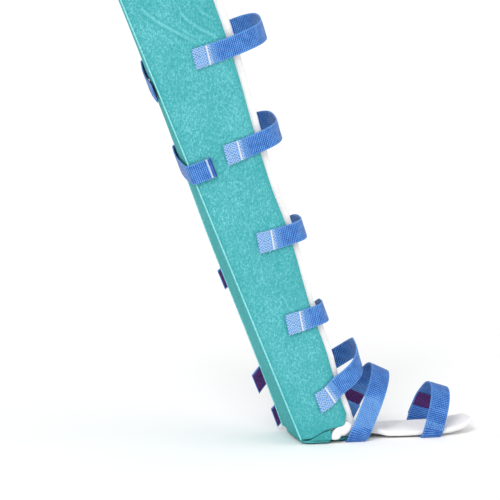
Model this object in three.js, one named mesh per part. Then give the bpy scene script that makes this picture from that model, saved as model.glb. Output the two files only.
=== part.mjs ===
// Long leg splint with a foot piece: three padded panels round the leg, a soft lining,
// a heel cup with a sole, and seven webbing straps with hook tape.
// Millimetres. +Z is up, +X runs towards the toes, +Y towards the inner side of the leg.
import * as THREE from 'three';

// Leg piece
const LEG_LENGTH = 800;
const LEAN_DEG = 22.2;
const KNEE_LEVEL = 490;
const TOP_DEPTH = 140;
const TOP_WIDTH = 180;
const TOP_TWIST_DEG = 9.5;
const TOP_BAND = 14.5;
const PANEL_THICK = 10;
const SIDE_CROWN = 6;
const EDGE_CURL = 6;
const BACK_CROWN = 4;
const WRINKLE_HEIGHT = 2.6;
const WRINKLE_HALF_WIDTH = 8;
const WRINKLE_TAPER = 0.06;
const PIPING_RADIUS = 1.4;
const LINING_THICK = 12;
const LINING_EDGE_ROUND = 3;

// Heel and sole
const HEM_RISE = 38;
const OUTSOLE_THICK = 4;
const OUTSOLE_LENGTH = 112;
const OUTSOLE_FRONT_WIDTH = 88;
const OUTSOLE_STEP_X = 47.5;
const OUTSOLE_STEP_LENGTH = 5;
const HEEL_ROUND = 16;
const GUSSET_THICK = 6;
const GUSSET_RECESS = 2;
const GUSSET_BACK_X = 10;
const GUSSET_FRONT_X = 46;
const ROLL_RADIUS = 5.5;
const ROLL_FLATNESS = 0.75;
const SOLE_LENGTH = 263;
const SOLE_WIDTH = 92;
const SOLE_THICK = 12;
const TOE_CURL = 12;

// Straps
const STRAP_WIDTH = 32;
const STRAP_THICK = 2;
const HOOK_THICK = 1.2;
const HOOK_MARGIN = 2;
const FRONT_REACH = 60;
const CORNER_TURN = 3;
const TAIL_RISE_FROM = 2.02;
const TAIL_RISE_TO = 2.4;
const HOOK_END = 0.01;
const INSTEP_AHEAD = 2;
const INSTEP_LEAN = 52;
const INSTEP_HEIGHT = 108;
const INSTEP_TUCK = 1.5;
const TOE_STRAP_SHARE = 0.708;
const TOE_STRAP_LEAN = 25;
const TOE_STRAP_HEIGHT = 75;
const TOE_LOOP_ROOM = 5;
const FOOT_STRAP_LAP = 45;

// Clearances between neighbouring pieces
const GAP = 0.3;
const SOFT_GAP = 0.6;
const STRAP_GAP = 0.5;
const MITRE_GAP = 0.25;
const PIPING_ROOM = 0.8;

// Sections up the leg. up: share of LEG_LENGTH. The others are shares of the top's
// depth, width, twist and lining band.
const SECTIONS = [
  { up: 0.0, depth: 0.607, width: 0.65, twist: 0.0, band: 0.73 },
  { up: 0.08, depth: 0.621, width: 0.65, twist: 0.1, band: 0.73 },
  { up: 0.15, depth: 0.66, width: 0.667, twist: 0.18, band: 0.73 },
  { up: 0.25, depth: 0.684, width: 0.711, twist: 0.27, band: 0.76 },
  { up: 0.4, depth: 0.768, width: 0.817, twist: 0.4, band: 0.79 },
  { up: 0.5, depth: 0.779, width: 0.844, twist: 0.52, band: 0.82 },
  { up: 0.6, depth: 0.82, width: 0.878, twist: 0.66, band: 0.85 },
  { up: 0.75, depth: 0.91, width: 0.928, twist: 0.82, band: 0.88 },
  { up: 0.88, depth: 0.952, width: 0.967, twist: 0.94, band: 0.96 },
  { up: 1.0, depth: 0.962, width: 1.0, twist: 1.0, band: 1.0 },
];

// The side panels' lower hem. across: share of the depth from the back corner.
// rise: share of HEM_RISE above the outsole.
const HEM = [
  { across: 0.0, rise: 0.0 },
  { across: 0.18, rise: 0.054 },
  { across: 0.42, rise: 0.32 },
  { across: 0.67, rise: 0.465 },
  { across: 0.85, rise: 0.54 },
  { across: 1.0, rise: 1.0 },
];

// The lining's rolled edge, from the floor up round the side panel's lower front corner.
// across: share of the depth from the back corner. rise: share of HEM_RISE above the outsole.
const ROLL = [
  { across: 0.609, rise: -0.016 },
  { across: 0.636, rise: 0.142 },
  { across: 0.716, rise: 0.3 },
  { across: 0.8, rise: 0.335 },
  { across: 0.892, rise: 0.42 },
  { across: 0.991, rise: 0.62 },
];

// Wrinkles that fan out from the thigh strap's sewn end. up1, across1 and up2, across2 are the
// two ends, as shares of LEG_LENGTH and TOP_DEPTH. high: share of WRINKLE_HEIGHT.
const WRINKLES = [
  { up1: 0.934, across1: 0.17, up2: 0.844, across2: 0.57, high: 1.0 },
  { up1: 0.898, across1: 0.55, up2: 0.834, across2: 0.8, high: 0.8 },
  { up1: 0.902, across1: 0.75, up2: 0.858, across2: 0.885, high: 0.6 },
  { up1: 0.916, across1: 0.555, up2: 0.866, across2: 0.63, high: 0.4 },
];

// Leg straps. level, front, tailLevel: shares of LEG_LENGTH at the sewn end, over the leg's
// front and at the tail. climb: 0 climbs evenly to the front, 1 late. start: share of the
// panel depth. reach: share of FRONT_REACH. hook and end: where the hook tape starts and the
// tail stops, counted in stretches: 3 is the inner back corner, 4 the outer back corner.
// wraps: the tail turns round the back.
const LEG_STRAPS = [
  {
    name: 'thigh', level: 0.804, front: 0.7865, tailLevel: 0.763, climb: 0,
    start: 0.537, reach: 1.03, hook: 3.3, end: 3.84, wraps: true,
  },
  {
    name: 'knee', level: 0.602, front: 0.592, tailLevel: 0.591, climb: 0,
    start: 0.513, reach: 0.71, hook: 4.05, end: 4.315, wraps: true,
  },
  {
    name: 'calf', level: 0.4135, front: 0.388, tailLevel: 0.327, climb: 0,
    start: 0.5, reach: 0.49, hook: 2.5, end: 3.06, wraps: false,
  },
  {
    name: 'shin', level: 0.2385, front: 0.218, tailLevel: 0.11, climb: 0,
    start: 0.5, reach: 0.4, hook: 2.45, end: 3.19, wraps: false,
  },
  {
    name: 'ankle', level: 0.067, front: 0.118, tailLevel: 0.032, climb: 1,
    start: 0.53, reach: 0.9, hook: 2.55, end: 3.09, wraps: false,
  },
];

// Sole pad outline. along: share of SOLE_LENGTH from the heel end. wide: share of SOLE_WIDTH.
// lift: share of TOE_CURL.
const SOLE = [
  { along: 0.0, wide: 0.45, lift: 0.0 },
  { along: 0.04, wide: 0.64, lift: 0.0 },
  { along: 0.12, wide: 0.66, lift: 0.0 },
  { along: 0.22, wide: 0.57, lift: 0.0 },
  { along: 0.3, wide: 0.55, lift: 0.0 },
  { along: 0.38, wide: 0.8, lift: 0.0 },
  { along: 0.5, wide: 0.96, lift: 0.0 },
  { along: 0.7, wide: 1.0, lift: 0.0 },
  { along: 0.84, wide: 0.95, lift: 0.1 },
  { along: 0.93, wide: 0.82, lift: 0.5 },
  { along: 0.98, wide: 0.6, lift: 0.85 },
  { along: 1.0, wide: 0.4, lift: 1.0 },
];

// Half of a foot strap's loop: how it turns up round the sole's edge, then the way up to the
// instep. wide: share of the loop's half width. high: share of the loop's height.
const SOLE_TURN = [
  { wide: 1.0, high: 0.06 },
  { wide: 0.96, high: 0 },
  { wide: 0.9, high: 0 },
];
const FOOT_LOOP = [
  { wide: 1.0, high: 0.2 },
  { wide: 0.93, high: 0.4 },
  { wide: 0.82, high: 0.62 },
  { wide: 0.6, high: 0.83 },
  { wide: 0.31, high: 0.96 },
];

// The loop's strap laps onto its own start below this share of its height.
const LAP_HIGH = 0.8;
const LAP_RAMP = 0.2;

// How a strap rounds the front of the leg: shares of its reach and of half the leg's width.
const FRONT_CURVE = { firstReach: 0.9, firstSwing: 0.35, secondAcross: 0.4 };

// Straps are square to their run up to this place round the front. RUN_STEP and SLIDE_STEPS
// are the steps in which the strap's line is followed.
const SQUARE_UNTIL = 1.3;
const RUN_STEP = 0.004;
const SLIDE_STEPS = 6;

// How finely each piece is faceted
const FINENESS = {
  lateralPanel: { rows: 48, columns: 12 },
  medialPanel: { rows: 36, columns: 8 },
  backPanel: { rows: 24, columns: 6 },
  piping: { rows: 20, columns: 3 },
  lining: { rows: 20, sideColumns: 6, backColumns: 6 },
  gusset: { rows: 2, columns: 8 },
  roll: { rows: 12, columns: 3 },
  outsole: { rows: 20, columns: 2 },
  solePad: { rows: 28, columns: 4 },
  legStrap: { columns: 2 },
  footStrap: { rows: 50, columns: 1 },
  footHook: { rows: 6, columns: 1 },
};
const STRETCHES = [
  { name: 'outer side', rows: 12 },
  { name: 'front', rows: 16 },
  { name: 'inner side', rows: 10 },
  { name: 'inner corner', rows: 5 },
  { name: 'back', rows: 7 },
  { name: 'outer corner', rows: 5 },
  { name: 'outer side again', rows: 8 },
];

const LEAN = THREE.MathUtils.degToRad(LEAN_DEG);
const TWIST = THREE.MathUtils.degToRad(TOP_TWIST_DEG);
const UP_LEG = new THREE.Vector3(-Math.sin(LEAN), 0, Math.cos(LEAN));
const FORWARD = new THREE.Vector3(Math.cos(LEAN), 0, Math.sin(LEAN));
const SIDEWAYS = new THREE.Vector3(0, 1, 0);
const OUTSOLE_TOP = STRAP_THICK + GAP + OUTSOLE_THICK;
const HEEL_FLOOR = OUTSOLE_TOP + GAP;
const PANEL_INSET = PANEL_THICK + SOFT_GAP;
const SEWN_LIFT = STRAP_GAP + STRAP_THICK / 2;
const HOOK_LIFT = PIPING_RADIUS + GAP + HOOK_THICK / 2;
const TAIL_LIFT = HOOK_LIFT + HOOK_THICK / 2 + STRAP_GAP + STRAP_THICK / 2;
const SOLE_START = (PANEL_INSET + LINING_THICK) / Math.cos(LEAN) + GAP;

const mix = (a, b, share) => a + (b - a) * share;

// Smooth reading of a table's column between its rows.
function read(table, key, column, wanted) {
  const at = THREE.MathUtils.clamp(wanted, table[0][key], table[table.length - 1][key]);
  let row = 0;
  while (row < table.length - 2 && at > table[row + 1][key]) row += 1;
  const slope = (i) => {
    const before = table[Math.max(i - 1, 0)];
    const after = table[Math.min(i + 1, table.length - 1)];
    return (after[column] - before[column]) / (after[key] - before[key]);
  };
  const span = table[row + 1][key] - table[row][key];
  const t = (at - table[row][key]) / span;
  const start = table[row][column];
  const end = table[row + 1][column];
  const blend = t * t * (3 - 2 * t);
  const bend = t * (1 - t) * ((1 - t) * slope(row) - t * slope(row + 1)) * span;
  return mix(start, end, blend) + bend;
}

const depthAt = (level) => read(SECTIONS, 'up', 'depth', level / LEG_LENGTH) * TOP_DEPTH;
const widthAt = (level) => read(SECTIONS, 'up', 'width', level / LEG_LENGTH) * TOP_WIDTH;
const bandAt = (level) => read(SECTIONS, 'up', 'band', level / LEG_LENGTH) * TOP_BAND;

// A point of the leg piece: level up the leg, forward from the outer back corner,
// across towards the inner side.
function legPoint(level, forward, across) {
  const turn = -read(SECTIONS, 'up', 'twist', level / LEG_LENGTH) * TWIST;
  const ahead = FORWARD.clone().multiplyScalar(Math.cos(turn));
  ahead.y = Math.sin(turn);
  const sideways = FORWARD.clone().multiplyScalar(-Math.sin(turn));
  sideways.y = Math.cos(turn);
  return UP_LEG.clone().multiplyScalar(level)
    .addScaledVector(ahead, forward)
    .addScaledVector(sideways, across);
}

function bulge(share) {
  return -SIDE_CROWN * Math.sin(Math.PI * THREE.MathUtils.clamp(share, 0, 1))
    + EDGE_CURL * Math.max(share, 0) ** 3;
}

const mirrorAcross = (level, across, inner) => (inner ? widthAt(level) - across : across);

// The level at which a point, forward of the back corner, has the given height.
const levelAtHeight = (height, forward) => (height - forward * Math.sin(LEAN)) / Math.cos(LEAN);
const hemHeight = (share) => HEEL_FLOOR + read(HEM, 'across', 'rise', share) * HEM_RISE;

function wrinkle(level, forward) {
  let height = 0;
  for (const fold of WRINKLES) {
    const from = new THREE.Vector2(fold.up1 * LEG_LENGTH, fold.across1 * TOP_DEPTH);
    const to = new THREE.Vector2(fold.up2 * LEG_LENGTH, fold.across2 * TOP_DEPTH);
    const run = to.clone().sub(from);
    const place = new THREE.Vector2(level, forward).sub(from);
    const along = THREE.MathUtils.clamp(place.dot(run) / run.lengthSq(), 0, 1);
    const away = place.sub(run.multiplyScalar(along)).length() / WRINKLE_HALF_WIDTH;
    const taper = Math.sin(Math.PI * mix(WRINKLE_TAPER, 1 - WRINKLE_TAPER, along));
    height += fold.high * WRINKLE_HEIGHT * Math.exp(-away * away) * Math.sqrt(taper);
  }
  return height;
}

// A closed solid between two sheets of points, outer(i, j) and inner(i, j).
function sheetSolid(outer, inner, rows, columns) {
  const points = [];
  for (const face of [outer, inner]) {
    for (let i = 0; i <= rows; i += 1) {
      for (let j = 0; j <= columns; j += 1) points.push(face(i / rows, j / columns));
    }
  }
  const size = (rows + 1) * (columns + 1);
  const at = (layer, i, j) => layer * size + i * (columns + 1) + j;
  const faces = [];
  const quad = (a, b, c, d) => faces.push(a, b, c, a, c, d);
  for (let i = 0; i < rows; i += 1) {
    for (let j = 0; j < columns; j += 1) {
      quad(at(0, i, j), at(0, i + 1, j), at(0, i + 1, j + 1), at(0, i, j + 1));
      quad(at(1, i, j), at(1, i, j + 1), at(1, i + 1, j + 1), at(1, i + 1, j));
    }
  }
  for (let i = 0; i < rows; i += 1) {
    quad(at(0, i, 0), at(1, i, 0), at(1, i + 1, 0), at(0, i + 1, 0));
    quad(at(0, i, columns), at(0, i + 1, columns), at(1, i + 1, columns), at(1, i, columns));
  }
  for (let j = 0; j < columns; j += 1) {
    quad(at(0, 0, j), at(0, 0, j + 1), at(1, 0, j + 1), at(1, 0, j));
    quad(at(0, rows, j), at(1, rows, j), at(1, rows, j + 1), at(0, rows, j + 1));
  }
  let volume = 0;
  for (let k = 0; k < faces.length; k += 3) {
    volume += points[faces[k]].dot(points[faces[k + 1]].clone().cross(points[faces[k + 2]]));
  }
  if (volume < 0) faces.reverse();
  const geometry = new THREE.BufferGeometry().setFromPoints(points);
  geometry.setIndex(faces);
  geometry.computeVertexNormals();
  return geometry;
}

// A rod whose outline rim(share, angle) gives, in two halves that meet along its sides.
function rod(rim, { rows, columns }) {
  const turn = (j) => ((j * columns + 0.5) / (columns + 1)) * Math.PI;
  return sheetSolid((i, j) => rim(i, turn(j)), (i, j) => rim(i, -turn(j)), rows, columns);
}

function sidePanel(inner, { rows, columns }) {
  const face = (start, inset, trim) => (i, j) => {
    const foot = mix(start, depthAt(0) - trim, j);
    const bottom = levelAtHeight(hemHeight(foot / depthAt(0)), foot);
    const level = mix(bottom, LEG_LENGTH, i);
    const forward = mix(start, depthAt(level) - trim, j);
    const fold = inner || inset > 0 ? 0 : wrinkle(level, forward);
    const across = bulge(forward / depthAt(level)) + inset - fold;
    return legPoint(level, forward, mirrorAcross(level, across, inner));
  };
  const outerFace = face(PIPING_RADIUS + PIPING_ROOM, 0, 0);
  const innerFace = face(PANEL_THICK + MITRE_GAP, PANEL_THICK, EDGE_CURL / 3);
  return sheetSolid(outerFace, innerFace, rows, columns);
}

function backPanel() {
  const face = (start, inset) => (i, j) => {
    const forward = inset - BACK_CROWN * Math.sin(Math.PI * j);
    const level = mix(levelAtHeight(HEEL_FLOOR, forward), LEG_LENGTH, i);
    return legPoint(level, forward, mix(start, widthAt(level) - start, j));
  };
  const { rows, columns } = FINENESS.backPanel;
  const outerFace = face(PIPING_RADIUS + PIPING_ROOM, 0);
  return sheetSolid(outerFace, face(PANEL_THICK + MITRE_GAP, PANEL_THICK), rows, columns);
}

function cornerPiping(inner) {
  const seat = PIPING_ROOM / 2;
  const bottom = levelAtHeight(HEEL_FLOOR + PIPING_RADIUS, 0);
  const rim = (share, angle) => {
    const level = mix(bottom, LEG_LENGTH, share);
    return legPoint(level, seat, mirrorAcross(level, seat, inner))
      .addScaledVector(FORWARD, PIPING_RADIUS * Math.cos(angle))
      .addScaledVector(SIDEWAYS, PIPING_RADIUS * Math.sin(angle));
  };
  return rod(rim, FINENESS.piping);
}

// The lining: one soft trough that lines the sides and the back and shows past the front edges.
function legLining() {
  const { rows, sideColumns: side, backColumns: back } = FINENESS.lining;
  const columns = 2 * side + back;
  const face = (layer) => (i, j) => {
    const inset = PANEL_INSET + layer * LINING_THICK;
    const count = Math.round(j * columns);
    const inner = count > columns / 2;
    const fromFront = Math.min(count, columns - count);
    const backShare = THREE.MathUtils.clamp((count - side) / back, 0, 1);
    const sideShare = 1 - Math.min(fromFront / side, 1);
    const behind = inset - BACK_CROWN * Math.sin(Math.PI * backShare);
    const foot = mix(behind, depthAt(0) + bandAt(0), sideShare);
    const level = mix(levelAtHeight(HEEL_FLOOR, foot), LEG_LENGTH, i);
    if (fromFront > side) return legPoint(level, behind, mix(inset, widthAt(level) - inset, backShare));
    const forward = mix(inset, depthAt(level) + bandAt(level), sideShare);
    const round = fromFront === 0 ? LINING_EDGE_ROUND * (1 - 2 * layer) : 0;
    const across = bulge(forward / depthAt(level)) + inset + round;
    return legPoint(level, forward, mirrorAcross(level, across, inner));
  };
  return sheetSolid(face(0), face(1), rows, columns);
}

// The top of a gusset at x: just under the side panel's hem.
function gussetTop(x) {
  let height = HEEL_FLOOR;
  for (let k = 0; k < 8; k += 1) {
    const forward = x * Math.cos(LEAN) + height * Math.sin(LEAN);
    height = hemHeight(forward / depthAt(0)) - SOFT_GAP;
  }
  return height;
}

function heelGusset(inner) {
  const { rows, columns } = FINENESS.gusset;
  const face = (inset) => (i, j) => {
    const x = mix(GUSSET_BACK_X, GUSSET_FRONT_X, j);
    const height = mix(HEEL_FLOOR, gussetTop(x), i);
    const forward = x * Math.cos(LEAN) + height * Math.sin(LEAN);
    const level = levelAtHeight(height, forward);
    const across = bulge(forward / depthAt(0)) + inset;
    return legPoint(level, forward, mirrorAcross(level, across, inner));
  };
  return sheetSolid(face(GUSSET_RECESS), face(GUSSET_RECESS + GUSSET_THICK), rows, columns);
}

// The lining's rolled edge, below and in front of the side panel's lower corner.
function ankleRoll(inner) {
  const route = new THREE.CatmullRomCurve3(ROLL.map(({ across, rise }) => {
    const forward = across * depthAt(0);
    const level = levelAtHeight(HEEL_FLOOR + rise * HEM_RISE, forward);
    const sideways = bulge(across) + ROLL_RADIUS;
    return legPoint(level, forward, mirrorAcross(level, sideways, inner));
  }));
  const rim = (share, angle) => {
    const outward = route.getTangent(share).cross(SIDEWAYS).normalize();
    return route.getPoint(share)
      .addScaledVector(outward, ROLL_RADIUS * Math.cos(angle))
      .addScaledVector(SIDEWAYS, ROLL_RADIUS * ROLL_FLATNESS * Math.sin(angle));
  };
  return rod(rim, FINENESS.roll);
}

function outsole() {
  const heelWidth = widthAt(0);
  const { rows, columns } = FINENESS.outsole;
  const face = (height) => (i, j) => {
    const x = i * OUTSOLE_LENGTH;
    const cut = Math.max(HEEL_ROUND - x, 0);
    const corner = HEEL_ROUND - Math.sqrt(Math.max(HEEL_ROUND ** 2 - cut ** 2, 0));
    const taper = THREE.MathUtils.smoothstep(x, OUTSOLE_STEP_X - OUTSOLE_STEP_LENGTH, OUTSOLE_STEP_X);
    const half = mix(heelWidth, OUTSOLE_FRONT_WIDTH, taper) / 2 - corner;
    return new THREE.Vector3(x, heelWidth / 2 + half * mix(-1, 1, j), height);
  };
  return sheetSolid(face(STRAP_THICK + GAP), face(OUTSOLE_TOP), rows, columns);
}

function solePad() {
  const middle = widthAt(0) / 2;
  const stepFrom = OUTSOLE_LENGTH + SOLE_THICK;
  const stepTo = OUTSOLE_LENGTH + 3 * SOLE_THICK;
  const { rows, columns } = FINENESS.solePad;
  const face = (layer) => (i, j) => {
    const x = SOLE_START + i * SOLE_LENGTH;
    const down = THREE.MathUtils.smoothstep(x, stepFrom, stepTo);
    const base = mix(HEEL_FLOOR, STRAP_THICK + GAP, down);
    const lift = read(SOLE, 'along', 'lift', i) * TOE_CURL;
    const half = read(SOLE, 'along', 'wide', i) * SOLE_WIDTH / 2;
    return new THREE.Vector3(x, middle + half * mix(-1, 1, j), base + lift + layer * SOLE_THICK);
  };
  return sheetSolid(face(0), face(1), rows, columns);
}

const cornerShare = (strap) => (1.5 * CORNER_TURN) / depthAt(strap.tailLevel * LEG_LENGTH);

// Where a strap's cross lines stand, closer together round the front and the corners.
function stations(strap, from, to) {
  const turn = cornerShare(strap);
  const stretchEnds = [1, 2, 3 - turn, 3 + turn, 4 - turn, 4 + turn, 5];
  const least = 0.01;
  const list = [from];
  let begin = 0;
  stretchEnds.forEach((upTo, index) => {
    const { rows } = STRETCHES[index];
    for (let k = 0; k < rows; k += 1) {
      const along = mix(begin, upTo, k / rows);
      if (along > from + least && along < to - least) list.push(along);
    }
    begin = upTo;
  });
  return [...list, to];
}

// Where a leg strap's middle line runs, at one level: [forward, across].
// along: 0 to 1 outer side, 1 to 2 round the front, 2 to 3 inner side, 3 to 4 back,
// 4 to 5 outer side again.
function strapRoute(strap, level, along, lift) {
  const depth = depthAt(level);
  const width = widthAt(level);
  const turn = cornerShare(strap);
  if (along <= 1) return [along * depth, bulge(along) - lift];
  if (along < 2) {
    const slope = (Math.PI * SIDE_CROWN + 3 * EDGE_CURL) / depth;
    const reach = strap.reach * FRONT_REACH;
    const edge = bulge(1) - lift;
    const { firstReach, firstSwing, secondAcross } = FRONT_CURVE;
    const local = along < 1.5 ? (along - 1) * 2 : (2 - along) * 2;
    const bend = new THREE.CubicBezierCurve(
      new THREE.Vector2(depth, edge),
      new THREE.Vector2(depth + reach * firstReach, edge + slope * reach * firstSwing),
      new THREE.Vector2(depth + reach, mix(edge, width / 2, secondAcross)),
      new THREE.Vector2(depth + reach, width / 2),
    ).getPoint(local);
    return [bend.x, along < 1.5 ? bend.y : width - bend.y];
  }
  const innerSide = (forward) => [forward, width - bulge(forward / depth) + lift];
  if (!strap.wraps || along < 3 - turn) return innerSide((3 - along) * depth);
  const arc = (share, nearCorner) => {
    const angle = share * Math.PI / 2;
    const radius = CORNER_TURN + lift;
    const outward = nearCorner ? Math.cos(angle) : Math.sin(angle);
    const sideways = nearCorner ? Math.sin(angle) : Math.cos(angle);
    const across = CORNER_TURN - radius * sideways;
    return [CORNER_TURN - radius * outward, nearCorner ? across : width - across];
  };
  if (along < 3 + turn) return arc((along - 3 + turn) / (2 * turn), false);
  if (along < 4 - turn) {
    const share = (along - 3 - turn) / (1 - 2 * turn);
    const across = mix(width - CORNER_TURN, CORNER_TURN, share);
    return [-lift - BACK_CROWN * Math.sin(Math.PI * share), across];
  }
  if (along < 4 + turn) return arc((along - 4 + turn) / (2 * turn), true);
  return [(along - 4) * depth, bulge(along - 4) - lift];
}

function strapLevel(strap, along) {
  if (along < 1.5) {
    const t = (along - strap.start) / (1.5 - strap.start);
    return mix(strap.level, strap.front, mix(t, t * t, strap.climb)) * LEG_LENGTH;
  }
  return mix(strap.front, strap.tailLevel, (along - 1.5) / (strap.end - 1.5)) * LEG_LENGTH;
}

// How a strap's line moves on at one level, per unit of along.
function strapRun(strap, level, along, lift) {
  const [x1, y1] = strapRoute(strap, level, along - RUN_STEP, lift);
  const [x2, y2] = strapRoute(strap, level, along + RUN_STEP, lift);
  return new THREE.Vector2(x2 - x1, y2 - y1).divideScalar(2 * RUN_STEP);
}

// A strip along a leg strap's line. Its cross lines stand square to it on the outer side and
// round the front, and along the leg further on.
function legStrip(strap, from, to, liftAt, thick, width) {
  const lines = stations(strap, from, to);
  const face = (out) => (i, j) => {
    const side = mix(-1, 1, j) * width / 2;
    let along = lines[Math.round(i * (lines.length - 1))];
    const lift = liftAt(along);
    const middle = strapLevel(strap, along);
    const climb = strapLevel(strap, along + RUN_STEP) - strapLevel(strap, along - RUN_STEP);
    const speed = strapRun(strap, middle, along, lift).length() * 2 * RUN_STEP;
    const square = 1 - THREE.MathUtils.smoothstep(along, SQUARE_UNTIL, 1.5);
    const slope = Math.atan2(climb, speed) * square;
    const level = middle + side * Math.cos(slope);
    for (let k = 0; k < SLIDE_STEPS; k += 1) {
      const slide = (side * Math.sin(slope)) / SLIDE_STEPS;
      along -= slide / strapRun(strap, middle, along, lift).length();
    }
    const place = strapRoute(strap, level, along, lift);
    const run = strapRun(strap, level, along, lift).normalize();
    return legPoint(level, place[0] + run.y * out, place[1] - run.x * out);
  };
  const { columns } = FINENESS.legStrap;
  return sheetSolid(face(thick / 2), face(-thick / 2), lines.length - 1, columns);
}

function legStrap(strap) {
  const lift = (along) => {
    const raised = THREE.MathUtils.smoothstep(along, TAIL_RISE_FROM, TAIL_RISE_TO);
    return mix(SEWN_LIFT, TAIL_LIFT, raised);
  };
  return legStrip(strap, strap.start, strap.end, lift, STRAP_THICK, STRAP_WIDTH);
}

function legHook(strap) {
  const width = STRAP_WIDTH - 2 * HOOK_MARGIN;
  return legStrip(strap, strap.hook, strap.end - HOOK_END, () => HOOK_LIFT, HOOK_THICK, width);
}

// A foot strap's loop: it starts on the inner side, runs under the sole and over the foot,
// and laps over its own start.
function footRoute(bottomX, topX, height, loopWidth, lift) {
  const up = new THREE.Vector3(topX - bottomX, 0, height);
  const length = up.length();
  up.normalize();
  const middle = widthAt(0) / 2;
  const half = (loopWidth - STRAP_THICK) / 2;
  const place = (wide, high) => new THREE.Vector3(bottomX, middle + wide * half, STRAP_THICK / 2)
    .addScaledVector(up, high * (length - STRAP_THICK / 2));
  const lapped = ({ wide, high }) => {
    const lap = THREE.MathUtils.clamp((LAP_HIGH - high) / LAP_RAMP, 0, 1);
    return place(wide + lap * lift / half, high);
  };
  const points = [
    ...FOOT_LOOP.slice(0, 2).reverse().map(({ wide, high }) => place(wide, high)),
    ...SOLE_TURN.map(({ wide, high }) => place(wide, high)),
    place(0, 0),
    ...[...SOLE_TURN].reverse().map(({ wide, high }) => place(-wide, high)),
    ...FOOT_LOOP.map(({ wide, high }) => place(-wide, high)),
    place(0, 1),
    ...[...FOOT_LOOP].reverse().map(lapped),
  ];
  return { curve: new THREE.CatmullRomCurve3(points, false, 'centripetal'), up };
}

function footStrip(route, from, to, thick, width, push, { rows, columns }) {
  const tilted = new THREE.Vector3(route.up.z, 0, -route.up.x);
  const flat = new THREE.Vector3(1, 0, 0);
  const face = (out) => (i, j) => {
    const share = mix(from, to, i);
    const centre = route.curve.getPointAt(share);
    const run = route.curve.getTangentAt(share);
    const raised = THREE.MathUtils.smoothstep(centre.z, STRAP_THICK, SOLE_THICK + HEEL_FLOOR);
    const wide = flat.clone().lerp(tilted, raised).normalize();
    const outward = wide.clone().cross(run).normalize();
    return centre.addScaledVector(wide, mix(-1, 1, j) * width / 2)
      .addScaledVector(outward, out + push);
  };
  return sheetSolid(face(thick / 2), face(-thick / 2), rows, columns);
}

const footLap = STRAP_THICK + HOOK_THICK + 2 * STRAP_GAP;
const instepX = depthAt(0) + INSTEP_AHEAD;
const instepWidth = widthAt(0) - 2 * INSTEP_TUCK;
const toeX = SOLE_START + TOE_STRAP_SHARE * SOLE_LENGTH;
const toeWidth = SOLE_WIDTH + 2 * TOE_LOOP_ROOM;
const instepRoute = footRoute(instepX, instepX + INSTEP_LEAN, INSTEP_HEIGHT, instepWidth, footLap);
const toeRoute = footRoute(toeX, toeX + TOE_STRAP_LEAN, TOE_STRAP_HEIGHT, toeWidth, footLap);

function footHook(route) {
  const width = STRAP_WIDTH - 2 * HOOK_MARGIN;
  const inward = -(STRAP_THICK + HOOK_THICK) / 2 - STRAP_GAP;
  const from = 1 - (FOOT_STRAP_LAP - HOOK_MARGIN) / route.curve.getLength();
  return footStrip(route, from, 1, HOOK_THICK, width, inward, FINENESS.footHook);
}

const TEAL = { color: 0x58bec3, roughness: 0.95, metalness: 0 };
const TEAL_DARK = { color: 0x46a5a5, roughness: 0.95, metalness: 0 };
const PALE_TEAL = { color: 0x82e1e1, roughness: 0.8, metalness: 0 };
const WHITE = { color: 0xf2efec, roughness: 0.95, metalness: 0 };
const BLUE = { color: 0x376ed2, roughness: 0.7, metalness: 0 };
const PURPLE = { color: 0x341a5c, roughness: 0.9, metalness: 0 };

const splint = new THREE.Group();
function add(name, geometry, look) {
  const mesh = new THREE.Mesh(geometry, new THREE.MeshStandardMaterial(look));
  mesh.name = name;
  splint.add(mesh);
}

add('lateral_panel', sidePanel(false, FINENESS.lateralPanel), TEAL);
add('medial_panel', sidePanel(true, FINENESS.medialPanel), TEAL);
add('back_panel', backPanel(), TEAL_DARK);
add('corner_piping_lateral', cornerPiping(false), PALE_TEAL);
add('corner_piping_medial', cornerPiping(true), PALE_TEAL);
add('leg_lining', legLining(), WHITE);
add('heel_gusset_lateral', heelGusset(false), TEAL_DARK);
add('heel_gusset_medial', heelGusset(true), TEAL_DARK);
add('ankle_roll_lateral', ankleRoll(false), WHITE);
add('ankle_roll_medial', ankleRoll(true), WHITE);
add('outsole', outsole(), TEAL_DARK);
add('sole_pad', solePad(), WHITE);
for (const strap of LEG_STRAPS) {
  add(`strap_${strap.name}`, legStrap(strap), BLUE);
  add(`hook_tape_${strap.name}`, legHook(strap), PURPLE);
}
const footStrap = (route) => footStrip(route, 0, 1, STRAP_THICK, STRAP_WIDTH, 0, FINENESS.footStrap);
add('strap_instep', footStrap(instepRoute), BLUE);
add('strap_toe', footStrap(toeRoute), BLUE);
add('hook_tape_instep', footHook(instepRoute), PURPLE);
add('hook_tape_toe', footHook(toeRoute), PURPLE);

// The origin sits in the middle of the leg's channel, at the knee.
const seat = legPoint(KNEE_LEVEL, depthAt(KNEE_LEVEL) / 2, widthAt(KNEE_LEVEL) / 2);
splint.position.copy(seat).negate();

export default splint;
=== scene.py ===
import math

import bmesh
import bpy
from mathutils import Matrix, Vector, noise


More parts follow.
